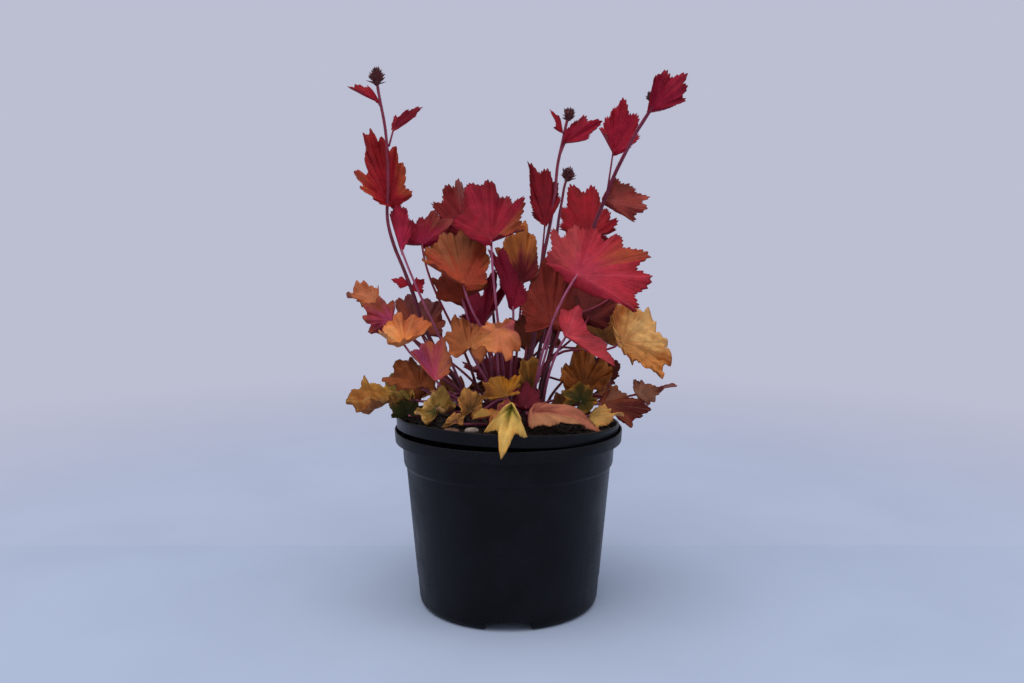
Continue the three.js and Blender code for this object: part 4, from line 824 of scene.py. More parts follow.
def grow_blade(growth, row, foliage, rng):
    """Adds one closed blade: two sheets of rings from the stalk's end to the toothed edge, and the rim
    that joins them. A ridge stands on the underside along each main vein."""
    blade = measured(row)
    size, normal, centre = blade["size"], blade["normal"], blade["origin"]
    edge, stations, lifts = blade_edge(blade, foliage.edge_step / MM, rng)
    rings = max(6, min(foliage.rings, round(size / 2.4)))
    reach = (np.arange(1, rings + 1) / rings) ** 0.9
    flat, height = sheet_heights(blade, edge, stations, lifts, reach, foliage.pucker / MM, rng)
    sheet = centre + flat + height[..., None] * normal
    upward = np.cross(np.roll(sheet, -1, axis=1) - np.roll(sheet, 1, axis=1), np.gradient(sheet, axis=0))
    upward /= np.maximum(lengths(upward), 1e-9)
    ring = reach[:, None]
    beside = np.abs(stations - np.round(stations))
    thick = foliage.thickness / MM * (1 - 0.5 * ring**3) / 2
    ridge = VEIN_RIDGE * np.exp(-((beside * ring * size) ** 2)) * (1 - ring) * min(1, size / 25)
    turned_over = normal[2] < TURNED_OVER
    above, below = (thick + ridge, thick) if turned_over else (thick, thick + ridge)
    heart = normal * (foliage.thickness / MM / 2)
    upper = np.vstack((centre + heart, (sheet + upward * above[..., None]).reshape(-1, 3)))
    lower = np.vstack((centre - heart, (sheet - upward * below[..., None]).reshape(-1, 3)))
    faces, maps = blade_faces(len(stations), stations, reach, len(blade["tips"]))
    colour, vein = blade_colours(blade, reach, stations, rng)
    pigment = np.vstack((rgb(blade["tones"][0]), colour.reshape(-1, 3)))
    veins = np.vstack((vein[0, 0], vein.reshape(-1, 3)))
    under = np.repeat((1.0, 0.0) if turned_over else (0.0, 1.0), len(upper))
    growth.take(np.vstack((upper, lower)), faces, maps, 0, np.vstack((pigment, pigment)),
                np.vstack((veins, veins)), under)
    return blade


def grow_stalk(growth, path, radii, tones, hairs, rng, sides=9):
    """Adds a closed tube along a path, from one radius and tone to another, with hairs standing on it."""
    path = np.asarray(path, float)
    count = len(path)
    along = np.gradient(path, axis=0)
    along /= lengths(along)
    side = unit(np.cross(along[0], (0.31, 0.9, 0.2)))
    share = np.linspace(0, 1, count)
    radius = radii[1] + (radii[0] - radii[1]) * (1 - share) ** 2
    angles = 2 * np.pi * np.arange(sides) / sides
    loops, frames = [], []
    for i in range(count):
        side = unit(side - along[i] * np.dot(side, along[i]))
        other = np.cross(along[i], side)
        frames.append((side, other))
        oval = radius[i] * (1 + STALK_OVAL * np.cos(3 * angles + i * 0.6))
        loops.append(path[i] + np.outer(oval * np.cos(angles), side) + np.outer(oval * np.sin(angles), other))
    places = np.vstack([path[0] - along[0] * 0.2, *loops, path[-1] + along[-1] * 0.2])
    last = len(places) - 1
    faces, maps = [], []
    for k in range(sides):
        n = (k + 1) % sides
        faces += [(0, 1 + n, 1 + k), (last, last - sides + k, last - sides + n)]
        maps += [((0, 0),) * 3, ((0, 1),) * 3]
        for i in range(count - 1):
            a, b = 1 + i * sides + k, 1 + i * sides + n
            faces.append((a, b, b + sides, a + sides))
            maps.append(((0, float(share[i])),) * 2 + ((0, float(share[i + 1])),) * 2)
    low, high = map(rgb, tones)
    mix = np.clip(np.repeat(share, sides) * 1.6, 0, 1)[:, None]
    growth.take(places, faces, maps, 1, np.vstack((low, low + (high - low) * mix, high)))
    total = int(float(lengths(np.diff(path, axis=0)).sum()) * hairs)
    if total:
        grow_hairs(growth, path, along, radius, frames, high, total, rng)


def grow_hairs(growth, path, along, radius, frames, tone, total, rng):
    """Adds fine hairs that stand out from a stalk, each a slender spike on three points."""
    spots = rng.uniform(0.16, 0.98, total) * (len(path) - 1)
    turns = rng.uniform(0, 2 * np.pi, total)
    places, faces = [], []
    for n, (spot, turn) in enumerate(zip(spots, turns)):
        i = min(int(spot), len(path) - 2)
        f = spot - i
        side, other = frames[i]
        out = math.cos(turn) * side + math.sin(turn) * other
        base = path[i] * (1 - f) + path[i + 1] * f + out * radius[i] * 0.9
        across = np.cross(out, along[i])
        tip = base + out * rng.uniform(*HAIR_LENGTHS) + along[i] * rng.uniform(-0.5, 0.5)
        aside, ahead = across * HAIR_WIDTH, along[i] * HAIR_WIDTH
        places += [base + aside, base - aside / 2 + ahead, base - aside / 2 - ahead, tip]
        a = 4 * n
        faces += [(a, a + 1, a + 3), (a + 1, a + 2, a + 3), (a + 2, a, a + 3), (a, a + 2, a + 1)]
    growth.take(places, faces, [((0, 0),) * 3] * len(faces), 2, tone)


def stalk_path(foot, blade):
    """The stalk leaves the crown upright and bends over to its blade, on a cubic Bezier curve."""
    end = blade["origin"]
    reach = np.linalg.norm(end - foot)
    straight = (end - foot) / reach
    arrive = unit(straight + (blade["fan"] - straight) * blade["sweep"])
    rise = np.array((0.0, 0.0, reach * blade["rise"]))
    a, b, c, d = foot, foot + rise, end - STALK_HOLD * reach * arrive, end
    t = np.linspace(0, 1, max(10, round(reach / 7)))[:, None]
    return a * (1 - t) ** 3 + 3 * b * t * (1 - t) ** 2 + 3 * c * t**2 * (1 - t) + d * t**3


def stem_path(places, per_span=5):
    """A smooth path through all the places (centripetal Catmull-Rom)."""
    places = [2 * places[0] - places[1], *places, 2 * places[-1] - places[-2]]
    path = []
    for i in range(1, len(places) - 2):
        p0, p1, p2, p3 = places[i - 1 : i + 3]
        d0, d1, d2 = (max(np.linalg.norm(b - a) ** 0.5, 1e-4) for a, b in ((p0, p1), (p1, p2), (p2, p3)))
        m1 = ((p1 - p0) / d0 - (p2 - p0) / (d0 + d1) + (p2 - p1) / d1) * d1
        m2 = ((p2 - p1) / d1 - (p3 - p1) / (d1 + d2) + (p3 - p2) / d2) * d1
        for t in np.arange(per_span) / per_span:
            path.append((2 * t**3 - 3 * t**2 + 1) * p1 + (t**3 - 2 * t**2 + t) * m1
                        + (-2 * t**3 + 3 * t**2) * p2 + (t**3 - t**2) * m2)
    return np.array([*path, places[-2]])


def all_roots():
    """Each stem's and leaf's foot: the free place nearest below it, on a sunflower spiral over the crown.
    Stems choose first."""
    free = []
    for i in range(ROOT_PLACES):
        radius, angle = ROOT_RADIUS * math.sqrt((i + 0.5) / ROOT_PLACES), i * GOLDEN_ANGLE
        free.append(np.array((radius * math.cos(angle), radius * math.sin(angle))))
    feet = {}
    wanted = [(row["name"], place(row["path"][0]), row.get("root")) for row in STEMS]
    wanted += [(row["name"], place(row["blades"][0]["at"]), None) for row in LEAVES]
    for name, at, root in wanted:
        towards = np.array((at[0] / SPREAD[0], at[1] / SPREAD[1]))
        near = np.array(root, float) if root else towards / max(1, np.linalg.norm(towards)) * ROOT_RADIUS
        best = min(range(len(free)), key=lambda i: np.linalg.norm(free[i] - near))
        feet[name] = np.array((*free.pop(best), STALK_FOOT))
    return feet


# ---- modelling helpers, in metres ----


def choose(*pieces):
    """Selects these pieces alone, in object mode, and makes the last one active."""
    if bpy.context.object and bpy.context.object.mode != "OBJECT":
        bpy.ops.object.mode_set(mode="OBJECT")
    bpy.ops.object.select_all(action="DESELECT")
    for piece in pieces:
        piece.select_set(True)
        bpy.context.view_layer.objects.active = piece


def primitive(kind, name, **settings):
    """A named mesh from one of Blender's primitives."""
    choose()
    getattr(bpy.ops.mesh, f"primitive_{kind}_add")(**settings)
    piece = bpy.context.active_object
    piece.name = piece.data.name = name
    return piece


def fix_transform():
    bpy.ops.object.transform_apply(location=True, rotation=True, scale=True)


def turned(name, profile, sides):
    """A piece turned about the upright axis: a filled circle, extruded and resized to each radius and
    height of the profile in turn, so it ends closed at both ends."""
    radius, height = profile[0]
    piece = primitive("circle", name, vertices=sides, radius=radius * MM, fill_type="NGON",
                      location=(0, 0, height * MM))
    bpy.ops.object.mode_set(mode="EDIT")
    for (radius, height), (wider, higher) in zip(profile, profile[1:]):
        bpy.ops.mesh.extrude_region_move(TRANSFORM_OT_translate={"value": (0, 0, (higher - height) * MM)})
        grow = wider / radius
        bpy.ops.transform.resize(value=(grow, grow, 1), center_override=(0, 0, higher * MM))
    bpy.ops.mesh.select_all(action="SELECT")
    bpy.ops.mesh.normals_make_consistent(inside=False)
    bpy.ops.object.mode_set(mode="OBJECT")
    fix_transform()
    return piece


def apply_modifier(piece, kind, **settings):
    choose(piece)
    modifier = assign(piece.modifiers.new(kind.title(), kind), **settings)
    bpy.ops.object.modifier_apply(modifier=modifier.name)


def round_edges(piece, width, degrees=32):
    apply_modifier(piece, "BEVEL", width=width * MM, segments=3, limit_method="ANGLE",
                   angle_limit=math.radians(degrees), use_clamp_overlap=True, harden_normals=False)


def lump(at, size, fineness, octaves, finer=2.0):
    """Fractal relief at a point, in lumps about this many millimetres across."""
    return noise.fractal(at / (size * MM), fineness, finer, octaves)


def leaned(piece):
    """Sets a piece made upright under the inner rim into the inner pot's lean."""
    right = Matrix.Rotation(math.radians(INNER_TILT_RIGHT), 4, "Y")
    back = Matrix.Rotation(math.radians(-INNER_TILT_BACK), 4, "X")
    piece.data.transform(Matrix.Translation(INNER_TOP * MM) @ right @ back)


def settle(piece, node, material=None, smooth_to=None):
    """Hands a finished piece over: its smooth shading, its material, the hiding of the frame's part that it
    stands for, and what carries it."""
    if smooth_to:
        choose(piece)
        bpy.ops.object.shade_smooth_by_angle(angle=math.radians(smooth_to))
    if material:
        piece.data.materials.append(material)
    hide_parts(node)
    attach(piece, "root")


# ---- the pots' measures, in millimetres ----

POT_HEIGHT = 149.0
RIM_RADIUS = 95.0
RIM_BAND = 9.8
RIM_LEDGE = 0.8
COLLAR_RADIUS = 88.2
COLLAR_FOOT = 121.0
BODY_RADIUS = 85.2
FOOT_RADIUS = 76.0
WALL_FOOT = 8.0
WALL_TOP = COLLAR_FOOT - 6.0
STEP_HEIGHT = 24.0
FLOOR_HEIGHT = 9.0
WALL = 1.5
FOOT_RING = 7.0
NOTCH = (37.0, 14.0, 16.0)
NOTCH_COUNT = 3
INNER_RIM_RADIUS = 93.0
INNER_RIM_BAND = 10.0
INNER_COLLAR_RADIUS = 82.5
INNER_FOOT_RADIUS = 62.0
INNER_HEIGHT = 120.0
INNER_TOP = Vector((-0.5, 0, 156.5))
INNER_TILT_BACK = 3.1
INNER_TILT_RIGHT = 2.2
COMPOST_BELOW_RIM = 4.5
COMPOST_RADIUS = INNER_RIM_RADIUS - 2.6
COMPOST_RINGS = 36
COMPOST_RING_WIDTH = 2.35
COMPOST_HEAP = 2.2
CROWN_RADIUS = 37.0
CROWN_TOP = 162.0
CROWN_FOOT = 140.0
# The crown's dome: share of its radius, and depth below its top.
CROWN_DOME = ((0.9, 5), (0.8, 3), (0.68, 1.9), (0.52, 1), (0.36, 0.5), (0.2, 0.2), (0.06, 0))
# The stones: what each replaces, its name, place, size, turn in degrees, and pale and dark tones.
STONES = (
    ("stone_pale", "pale_gravel", (-28, -66, 159.3), (11, 8, 5), 10, ("#a89c90", "#847870")),
    ("stone_brown", "brown_gravel", (-44, -64, 159), (13, 8, 4), -15, ("#8a6450", "#64443a")),
)
LOOKED_AT = (0, 0, 0.2)  # the point that the lamps face, in metres
# The lamps: name, place and size in metres, and watts.
LAMPS = (("overhead_softbox", (-0.3, -0.45, 1.7), 2.0, 21.0), ("side_softbox", (1.3, -0.5, 0.9), 0.9, 3.0))
FLOOR_RADIUS = 14.0  # in metres
FAR_FLOOR = "#b2bfda"
FAR_FLOOR_AT = 134.0  # where the floor's farther tone begins behind the pot


# ---- what a user may change ----


class PotSettings(bpy.types.PropertyGroup):
    """Fineness of the two nursery pots."""

    sides: bpy.props.IntProperty(name="Sides", description="Faces round a pot", default=144, min=48, max=256)
    edge_round: bpy.props.FloatProperty(
        name="Edge rounding", description="Radius of the moulded edges", default=0.5 * MM, unit="LENGTH")


class FillSettings(bpy.types.PropertyGroup):
    """The compost's surface."""

    relief: bpy.props.FloatProperty(
        name="Crumb relief", description="Depth of the compost's lumps", default=1.6 * MM, unit="LENGTH")
    crumbs: bpy.props.IntProperty(
        name="Crumbs", description="Loose crumbs on the compost", default=520, min=1)


class FoliageSettings(bpy.types.PropertyGroup):
    """Fineness and relief of the leaves, stalks and buds."""

    edge_step: bpy.props.FloatProperty(
        name="Edge step", description="Distance between points on a leaf's margin", default=1.15 * MM,
        unit="LENGTH")
    rings: bpy.props.IntProperty(name="Rings", description="Most rings of points over a blade", default=15)
    thickness: bpy.props.FloatProperty(
        name="Blade thickness", description="Thickness of a blade at its middle", default=0.6 * MM,
        unit="LENGTH")
    pucker: bpy.props.FloatProperty(
        name="Pucker", description="Height of the swelling between side veins", default=0.4 * MM,
        unit="LENGTH")
    hairs: bpy.props.FloatProperty(
        name="Hairs", description="Hairs on each millimetre of stalk", default=1.1, min=0)
    stalk_radius: bpy.props.FloatProperty(
        name="Stalk radius", description="Radius of a leaf's stalk near its blade", default=0.95 * MM,
        unit="LENGTH")
    bud_scales: bpy.props.IntProperty(name="Bud scales", description="Scales on a flower head", default=46)


class StageSettings(bpy.types.PropertyGroup):
    """The floor, the light and the camera."""

    floor_tone: bpy.props.FloatVectorProperty(
        name="Floor", description="Colour of the floor", default=linear("#aebdd8")[:3], subtype="COLOR",
        min=0, max=1)
    lens: bpy.props.FloatProperty(name="Lens", description="Focal length on a 36 mm sensor", default=34.5)
    tilt: bpy.props.FloatProperty(
        name="Tilt", description="How far the camera looks down", default=math.radians(7.0),
        subtype="ANGLE")
    sky: bpy.props.FloatProperty(name="Sky", description="Strength of the light from all round", default=0.6)


# ---- the pieces ----


class HEUCHERA_OT_outer_pot(bpy.types.Operator):
    """Outer nursery pot: foot ring with drain notches, tapered wall, collar and rim band"""

    bl_idname = "heuchera.outer_pot"
    bl_label = "Outer pot"

    def execute(self, context):
        pot = context.scene.heuchera_pots
        under_rim = POT_HEIGHT - RIM_BAND
        ledge = under_rim + RIM_LEDGE
        slope = (BODY_RADIUS - FOOT_RADIUS) / (WALL_TOP - WALL_FOOT)

        def wall(height, inset=0.0):
            return FOOT_RADIUS + slope * (height - WALL_FOOT) - inset, height

        profile = [
            (FOOT_RADIUS - FOOT_RING, FLOOR_HEIGHT), (FOOT_RADIUS - FOOT_RING, 0), (FOOT_RADIUS - 5.5, 0),
            (FOOT_RADIUS - 3.0, 1.0), (FOOT_RADIUS - 1.2, 3.2), (FOOT_RADIUS - 0.4, 6.0),
            wall(STEP_HEIGHT, inset=0.35), wall(STEP_HEIGHT + 0.8), wall(COLLAR_FOOT - 2.8),
            (COLLAR_RADIUS - 2, COLLAR_FOOT - 2.2), (COLLAR_RADIUS - 1, COLLAR_FOOT - 0.8),
            (COLLAR_RADIUS - 0.6, COLLAR_FOOT + 0.8), (COLLAR_RADIUS + 0.5, under_rim),
            (RIM_RADIUS - 0.6, under_rim), (RIM_RADIUS, POT_HEIGHT), (RIM_RADIUS - 1.4, POT_HEIGHT),
            (RIM_RADIUS - 1.9, ledge), (COLLAR_RADIUS - WALL, ledge), (COLLAR_RADIUS - WALL, COLLAR_FOOT),
            (BODY_RADIUS - WALL, COLLAR_FOOT - 4), (FOOT_RADIUS - WALL, FLOOR_HEIGHT + WALL),
        ]
        piece = turned("moulded_outer_pot", profile, pot.sides)
        round_edges(piece, pot.edge_round / MM, degrees=28)
        out = (FOOT_RADIUS - FOOT_RING / 2) * MM
        for i in range(NOTCH_COUNT):
            angle = i * 2 * math.pi / NOTCH_COUNT
            cutter = primitive("cube", "notch_cutter", size=1, rotation=(0, 0, angle),
                               location=(out * math.sin(angle), -out * math.cos(angle), 0),
                               scale=[side * MM for side in NOTCH])
            round_edges(cutter, 1.6)
            apply_modifier(piece, "BOOLEAN", operation="DIFFERENCE", object=cutter, solver="EXACT")
            bpy.data.objects.remove(cutter)
        settle(piece, "outer_pot", pot_material("satin_black_pot", "#08090e", "#4a4a56"),
               smooth_to=30)
        return {"FINISHED"}


class HEUCHERA_OT_inner_pot(bpy.types.Operator):
    """Inner nursery pot, leaning a little: its rim lies over the outer one"""

    bl_idname = "heuchera.inner_pot"
    bl_label = "Inner pot"

    def execute(self, context):
        pot = context.scene.heuchera_pots
        band = -INNER_RIM_BAND
        profile = [
            (INNER_FOOT_RADIUS, -INNER_HEIGHT), (INNER_COLLAR_RADIUS, band), (INNER_RIM_RADIUS - 0.8, band),
            (INNER_RIM_RADIUS - 0.2, -2.6), (INNER_RIM_RADIUS, -2.2), (INNER_RIM_RADIUS, 0),
            (INNER_RIM_RADIUS - 1.9, 0), (INNER_RIM_RADIUS - 2.2, WALL + band),
            (INNER_COLLAR_RADIUS - WALL, WALL + band), (INNER_FOOT_RADIUS - WALL, WALL - INNER_HEIGHT),
        ]
        piece = turned("moulded_inner_pot", profile, pot.sides)
        round_edges(piece, pot.edge_round / MM, degrees=28)
        leaned(piece)
        skin = pot_material("satin_black_inner_pot", "#090a0f", "#50505a")
        settle(piece, "inner_pot", skin, smooth_to=30)
        return {"FINISHED"}


def fill_height(x, y):
    """Height of the compost's flat surface at x, y, in millimetres."""
    back, right = (math.tan(math.radians(tilt)) for tilt in (INNER_TILT_BACK, INNER_TILT_RIGHT))
    return INNER_TOP.z - COMPOST_BELOW_RIM - back * y - right * x


class HEUCHERA_OT_compost(bpy.types.Operator):
    """Compost: a filled disc with lumps and hollows, and loose crumbs lying on it"""

    bl_idname = "heuchera.compost"
    bl_label = "Compost"

    def execute(self, context):
        fill = context.scene.heuchera_fill
        profile = [(INNER_FOOT_RADIUS - 3, 3 - INNER_HEIGHT), (INNER_COLLAR_RADIUS - 3, -9),
                   (COMPOST_RADIUS, -8), (COMPOST_RADIUS, -COMPOST_BELOW_RIM)]
        piece = turned("compost_fill", profile, 96)
        self.lay_rings(piece)
        leaned(piece)
        for vertex in piece.data.vertices:
            if vertex.co.z >= (fill_height(vertex.co.x / MM, vertex.co.y / MM) - 0.5) * MM:
                relief = lump(vertex.co, 9, 0.7, 5, finer=2.1)
                out = math.hypot(vertex.co.x, vertex.co.y) / (COMPOST_RADIUS * MM)
                heaped = (COMPOST_HEAP * (1 - out) - 0.6 * out**4) * MM
                vertex.co.z += fill.relief * (relief - 0.15) + heaped
        self.scatter(piece, fill.crumbs)
        settle(piece, "compost", compost_material(), smooth_to=60)
        return {"FINISHED"}

    def lay_rings(self, piece):
        """Parts the top of the disc into narrow rings."""
        bpy.ops.object.mode_set(mode="EDIT")
        bpy.ops.mesh.select_all(action="DESELECT")
        bpy.ops.object.mode_set(mode="OBJECT")
        for face in piece.data.polygons:
            face.select = face.normal.z > 0.9 and face.center.z > -5 * MM
        bpy.ops.object.mode_set(mode="EDIT")
        bpy.ops.mesh.select_mode(type="FACE")
        for _ in range(COMPOST_RINGS):
            bpy.ops.mesh.inset(thickness=COMPOST_RING_WIDTH * MM)
        bpy.ops.mesh.poke()
        bpy.ops.object.mode_set(mode="OBJECT")

    def scatter(self, piece, count):
        """Loose crumbs and bark chips, each a small lump with a few faces."""
        rng = np.random.default_rng(SEEDS["crumbs"])
        crumb = primitive("ico_sphere", "crumb", subdivisions=1, radius=1.0)
        shape = np.array([vertex.co for vertex in crumb.data.vertices])
        corners = [tuple(face.vertices) for face in crumb.data.polygons]
        bpy.data.objects.remove(crumb)
        grains, faces = [], []
        for _ in range(count):
            radius = (COMPOST_RADIUS - 3) * math.sqrt(rng.uniform(0.05, 1))
            angle = rng.uniform(0, 2 * math.pi)
            x, y = radius * math.cos(angle) + INNER_TOP.x, radius * math.sin(angle)
            size = rng.uniform(0.5, 1.5) * rng.uniform(0.6, 1.6)
            long = rng.choice((1.0, 1.2, 2.4), p=(0.5, 0.3, 0.2))
            grain = shape * rng.uniform(0.75, 1.2, shape.shape) * (size * long, size, size * 0.7)
            turn = rng.uniform(0, 2 * math.pi)
            spun = np.column_stack((grain[:, 0] * math.cos(turn) - grain[:, 1] * math.sin(turn),
                                    grain[:, 0] * math.sin(turn) + grain[:, 1] * math.cos(turn), grain[:, 2]))
            z = fill_height(x, y) + COMPOST_HEAP * (1 - math.hypot(x, y) / COMPOST_RADIUS) + size * 0.25
            faces += [tuple(i + len(grains) * len(shape) for i in corner) for corner in corners]
            grains.append(spun + (x, y, z))
        choose(add_object("crumbs", add_mesh("crumbs", grains, faces)), piece)
        bpy.ops.object.join()


class HEUCHERA_OT_crown(bpy.types.Operator):
    """Crown: a low woody dome with flaking bark"""

    bl_idname = "heuchera.crown"
    bl_label = "Crown"

    def execute(self, context):
        profile = [(CROWN_RADIUS - 4, CROWN_FOOT), (CROWN_RADIUS, CROWN_FOOT + 5),
                   (CROWN_RADIUS, CROWN_TOP - 10), (CROWN_RADIUS - 1.5, CROWN_TOP - 7.5)]
        profile += [(CROWN_RADIUS * share, CROWN_TOP - below) for share, below in CROWN_DOME]
        piece = turned("woody_crown", profile, 96)
        apply_modifier(piece, "SUBSURF", levels=1, render_levels=1)
        for vertex in piece.data.vertices:
            if vertex.co.z > (CROWN_FOOT + 8) * MM:
                vertex.co.z += 1.3 * MM * (lump(vertex.co, 7, 0.8, 4) - 0.5)
        settle(piece, "crown", bark_material(), smooth_to=60)
        return {"FINISHED"}


class HEUCHERA_OT_stones(bpy.types.Operator):
    """Two small stones on the compost at the front"""

    bl_idname = "heuchera.stones"
    bl_label = "Stones"

    def execute(self, context):
        for node, name, at, size, turn, tones in STONES:
            piece = primitive("ico_sphere", name, subdivisions=4, radius=0.5, location=[v * MM for v in at],
                              rotation=(0, 0, math.radians(turn)), scale=[v * MM for v in size])
            fix_transform()
            middle = Vector(at) * MM
            for vertex in piece.data.vertices:
                vertex.co = middle + (vertex.co - middle) * (1 + 0.08 * lump(vertex.co, 4.5, 0.9, 3))
            settle(piece, node, stone_material(name + "_skin", *tones), smooth_to=60)
        return {"FINISHED"}


class HEUCHERA_OT_leaves(bpy.types.Operator):
    """Leaves: toothed, puckered blades on bending hairy stalks, one piece for each leaf of the frame"""

    bl_idname = "heuchera.leaves"
    bl_label = "Leaves"

    def execute(self, context):
        foliage = context.scene.heuchera_foliage
        materials = plant_materials()
        radii = [foliage.stalk_radius / MM * share for share in STALK_TAPER]
        feet = all_roots()
        for n, row in enumerate(LEAVES):
            rng = np.random.default_rng(SEEDS["leaves"] + n)
            growth = Growth()
            # Stalks behind the plant's middle take the darker tones: painted shade.
            tones = STALK_TONES_FRONT_LIT if row["blades"][0]["at"][2] < 0 else STALK_TONES_BACK_SHADED
            for blade_row in row["blades"]:
                blade = grow_blade(growth, blade_row, foliage, rng)
                path = stalk_path(feet[row["name"]], blade)
                grow_stalk(growth, path, radii, tones, foliage.hairs, rng)
            settle(growth.made("heuchera_" + row["name"], materials), row["name"])
        return {"FINISHED"}


class HEUCHERA_OT_flower_stems(bpy.types.Operator):
    """Flower stems: hairy purple stems with toothed bracts, some of them on twigs"""

    bl_idname = "heuchera.flower_stems"
    bl_label = "Flower stems"

    def execute(self, context):
        foliage = context.scene.heuchera_foliage
        materials = plant_materials()
        feet = all_roots()
        for n, row in enumerate(STEMS):
            rng = np.random.default_rng(SEEDS["stems"] + n)
            growth = Growth()
            through = [place(at) for at in (*row["path"], row["head"]["at"])]
            path = stem_path([feet[row["name"]], *through])
            radii = [row["radius"] * share for share in STEM_TAPER]
            grow_stalk(growth, path, radii, STEM_TONES, foliage.hairs * STEM_HAIRS, rng)
            for bract_row in row["bracts"]:
                blade = grow_blade(growth, bract_row, foliage, rng)
                if "twig" in bract_row:
                    twig = np.linspace(place(bract_row["twig"]), blade["origin"], 7)
                    grow_stalk(growth, twig, TWIG_RADII, TWIG_TONES, foliage.hairs, rng, sides=7)
            piece = growth.made(row["name"].replace("flower", "heuchera"), materials)
            settle(piece, row["name"])
        return {"FINISHED"}


class HEUCHERA_OT_flower_heads(bpy.types.Operator):
    """Flower heads in bud: a core packed with pointed scales in a spiral, the lower ones longer"""

    bl_idname = "heuchera.flower_heads"
    bl_label = "Flower heads"

    def execute(self, context):
        finish = bud_material()
        scale = self.one_scale()
        for n, row in enumerate(STEMS):
            rng = np.random.default_rng(SEEDS["heads"] + n)
            middle = Vector(place(row["head"]["at"]))
            wide, high = row["head"]["radius"], row["head"]["height"]
            scales = [v * MM * 0.8 for v in (wide, wide, high)]
            core = primitive("ico_sphere", row["name"].replace("flower_stem", "bud_head"), subdivisions=3,
                             radius=1.0, location=middle * MM, scale=scales)
            fix_transform()
            copies = self.pack(scale, middle, wide, high, context.scene.heuchera_foliage.bud_scales, rng)
            choose(*copies, core)
            bpy.ops.object.join()
            settle(core, row["name"].replace("stem", "head"), finish, smooth_to=50)
        bpy.data.objects.remove(scale)
        return {"FINISHED"}

    def pack(self, scale, middle, wide, high, count, rng):
        """Copies of the scale in a spiral down the bud, each lifted towards its top."""
        copies = []
        for i in range(count):
            up = 0.97 - 1.9 * (i + 0.5) / count
            around = i * GOLDEN_ANGLE + rng.uniform(-0.3, 0.3)
            flat = math.sqrt(1 - up * up)
            out = Vector((flat * math.cos(around), flat * math.sin(around), up))
            lifted = (out + Vector((0, 0, rng.uniform(0.5, 1.3)))).normalized()
            length = wide * rng.uniform(0.5, 0.95) * (1.2 - 0.3 * up)
            spread = wide * rng.uniform(0.16, 0.36)
            base = middle + Vector((out.x * wide, out.y * wide, out.z * high)) * rng.uniform(0.55, 0.75)
            turn = lifted.to_track_quat("Z", "Y").to_matrix().to_4x4()
            shape = Matrix.Diagonal((spread, spread * 0.8, length, 1))
            copies.append(add_object("scale", scale.data.copy()))
            copies[-1].data.transform(Matrix.Scale(MM, 4) @ Matrix.Translation(base) @ turn @ shape)
        return copies

    def one_scale(self):
        """One scale, a unit high: a narrow cone swollen low down and drawn to a point."""
        scale = primitive("cone", "bud_scale", vertices=6, radius1=0.7, radius2=0.05, depth=1.0,
                          location=(0, 0, 0.5))
        bpy.ops.object.mode_set(mode="EDIT")
        for up, swollen in ((0.3, 1.5), (0.62, 1.25)):
            bpy.ops.mesh.select_all(action="SELECT")
            bpy.ops.mesh.bisect(plane_co=(0, 0, up), plane_no=(0, 0, 1))
            bpy.ops.transform.resize(value=(swollen, swollen, 1), center_override=(0, 0, up))
        bpy.ops.object.mode_set(mode="OBJECT")
        fix_transform()
        return scale


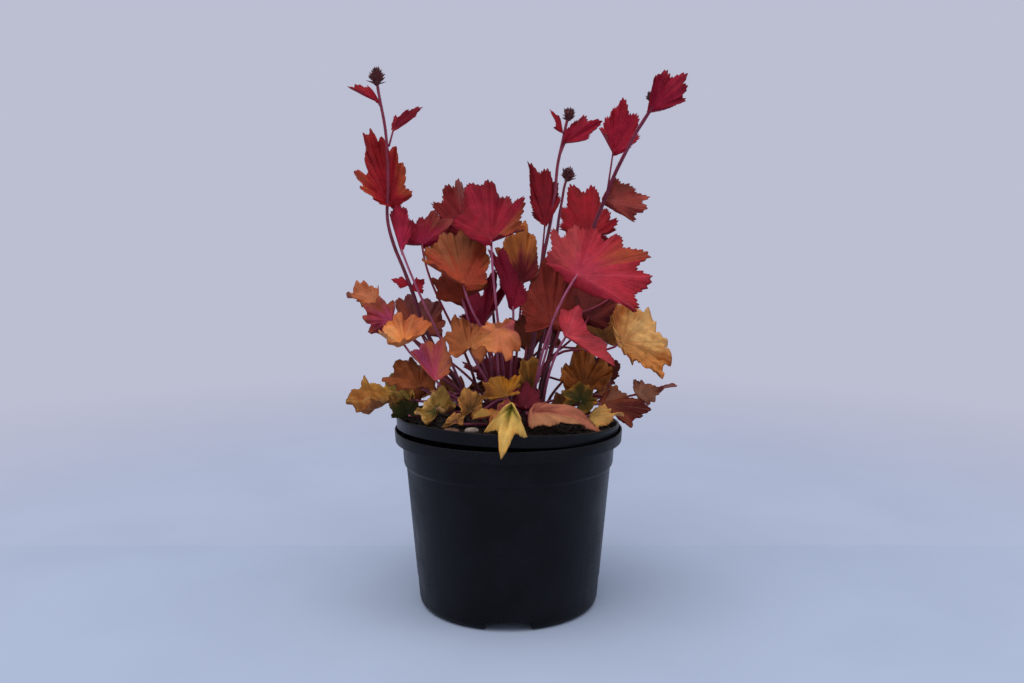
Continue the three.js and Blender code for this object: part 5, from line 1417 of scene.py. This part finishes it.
class HEUCHERA_OT_stage(bpy.types.Operator):
    """The floor, the soft light from all round, two large soft lamps and the camera"""

    bl_idname = "heuchera.stage"
    bl_label = "Stage"

    def execute(self, context):
        stage = context.scene.heuchera_stage
        floor = primitive("circle", "studio_floor", vertices=96, radius=FLOOR_RADIUS, fill_type="NGON",
                          location=(0, 0, 0))
        board = stage_material("pale_board", (*stage.floor_tone, 1.0), FAR_FLOOR, FAR_FLOOR_AT * MM)
        floor.data.materials.append(board)
        world = bpy.data.worlds.new("soft_daylight")
        tree = empty_tree(world)
        seen = add_node(tree, "LightPath").outputs["Is Camera Ray"]
        light = add_node(tree, "Background", {"Color": "#eceef8", "Strength": stage.sky})
        backdrop = add_node(tree, "Background", {"Color": BACKDROP, "Strength": 1.0})
        both = add_node(tree, "MixShader", {0: seen, 1: light.outputs[0], 2: backdrop.outputs[0]})
        add_node(tree, "OutputWorld", {"Surface": both.outputs[0]})
        context.scene.world = world
        for name, at, size, watts in LAMPS:
            self.lamp(name, at, size, watts)
        lens = assign(bpy.data.cameras.new("camera"), lens=stage.lens, sensor_width=36, clip_start=0.01)
        context.scene.camera = add_object("camera", lens, location=EYE * MM,
                                          rotation_euler=(math.radians(90) - stage.tilt, 0, 0))
        assign(context.scene.view_settings, view_transform="Standard", look="None")
        return {"FINISHED"}

    def lamp(self, name, at, size, watts):
        """A square soft lamp that looks at the plant's middle."""
        data = assign(bpy.data.lights.new(name, "AREA"), shape="SQUARE", size=size, energy=watts,
                      color=rgb("#fff8f0"))
        turn = (Vector(LOOKED_AT) - Vector(at)).to_track_quat("-Z", "Y").to_euler()
        add_object(name, data, location=at, rotation_euler=turn)


PIECES = (HEUCHERA_OT_outer_pot, HEUCHERA_OT_inner_pot, HEUCHERA_OT_compost, HEUCHERA_OT_crown,
          HEUCHERA_OT_stones, HEUCHERA_OT_leaves, HEUCHERA_OT_flower_stems, HEUCHERA_OT_flower_heads,
          HEUCHERA_OT_stage)
SETTINGS = {"heuchera_pots": PotSettings, "heuchera_fill": FillSettings,
            "heuchera_foliage": FoliageSettings, "heuchera_stage": StageSettings}


class HEUCHERA_PT_panel(bpy.types.Panel):
    """Lists the pieces and their settings."""

    bl_idname = "HEUCHERA_PT_panel"
    bl_label = "Potted heuchera"
    bl_space_type = "VIEW_3D"
    bl_region_type = "UI"
    bl_category = "Heuchera"

    def draw(self, context):
        for name, group in SETTINGS.items():
            box = self.layout.box()
            for setting in group.__annotations__:
                box.prop(getattr(context.scene, name), setting)
        for piece in PIECES:
            self.layout.operator(piece.bl_idname)


def register():
    for cls in (*SETTINGS.values(), *PIECES, HEUCHERA_PT_panel):
        bpy.utils.register_class(cls)
    for name, group in SETTINGS.items():
        setattr(bpy.types.Scene, name, bpy.props.PointerProperty(type=group))


def unregister():
    for name in SETTINGS:
        delattr(bpy.types.Scene, name)
    for cls in reversed((*SETTINGS.values(), *PIECES, HEUCHERA_PT_panel)):
        bpy.utils.unregister_class(cls)


def main():
    register()
    for piece in PIECES:
        family, name = piece.bl_idname.split(".")
        result = getattr(getattr(bpy.ops, family), name)()
        if "FINISHED" not in result:
            raise RuntimeError(f"{piece.bl_label} was not finished")


if __name__ == "__main__":
    main()
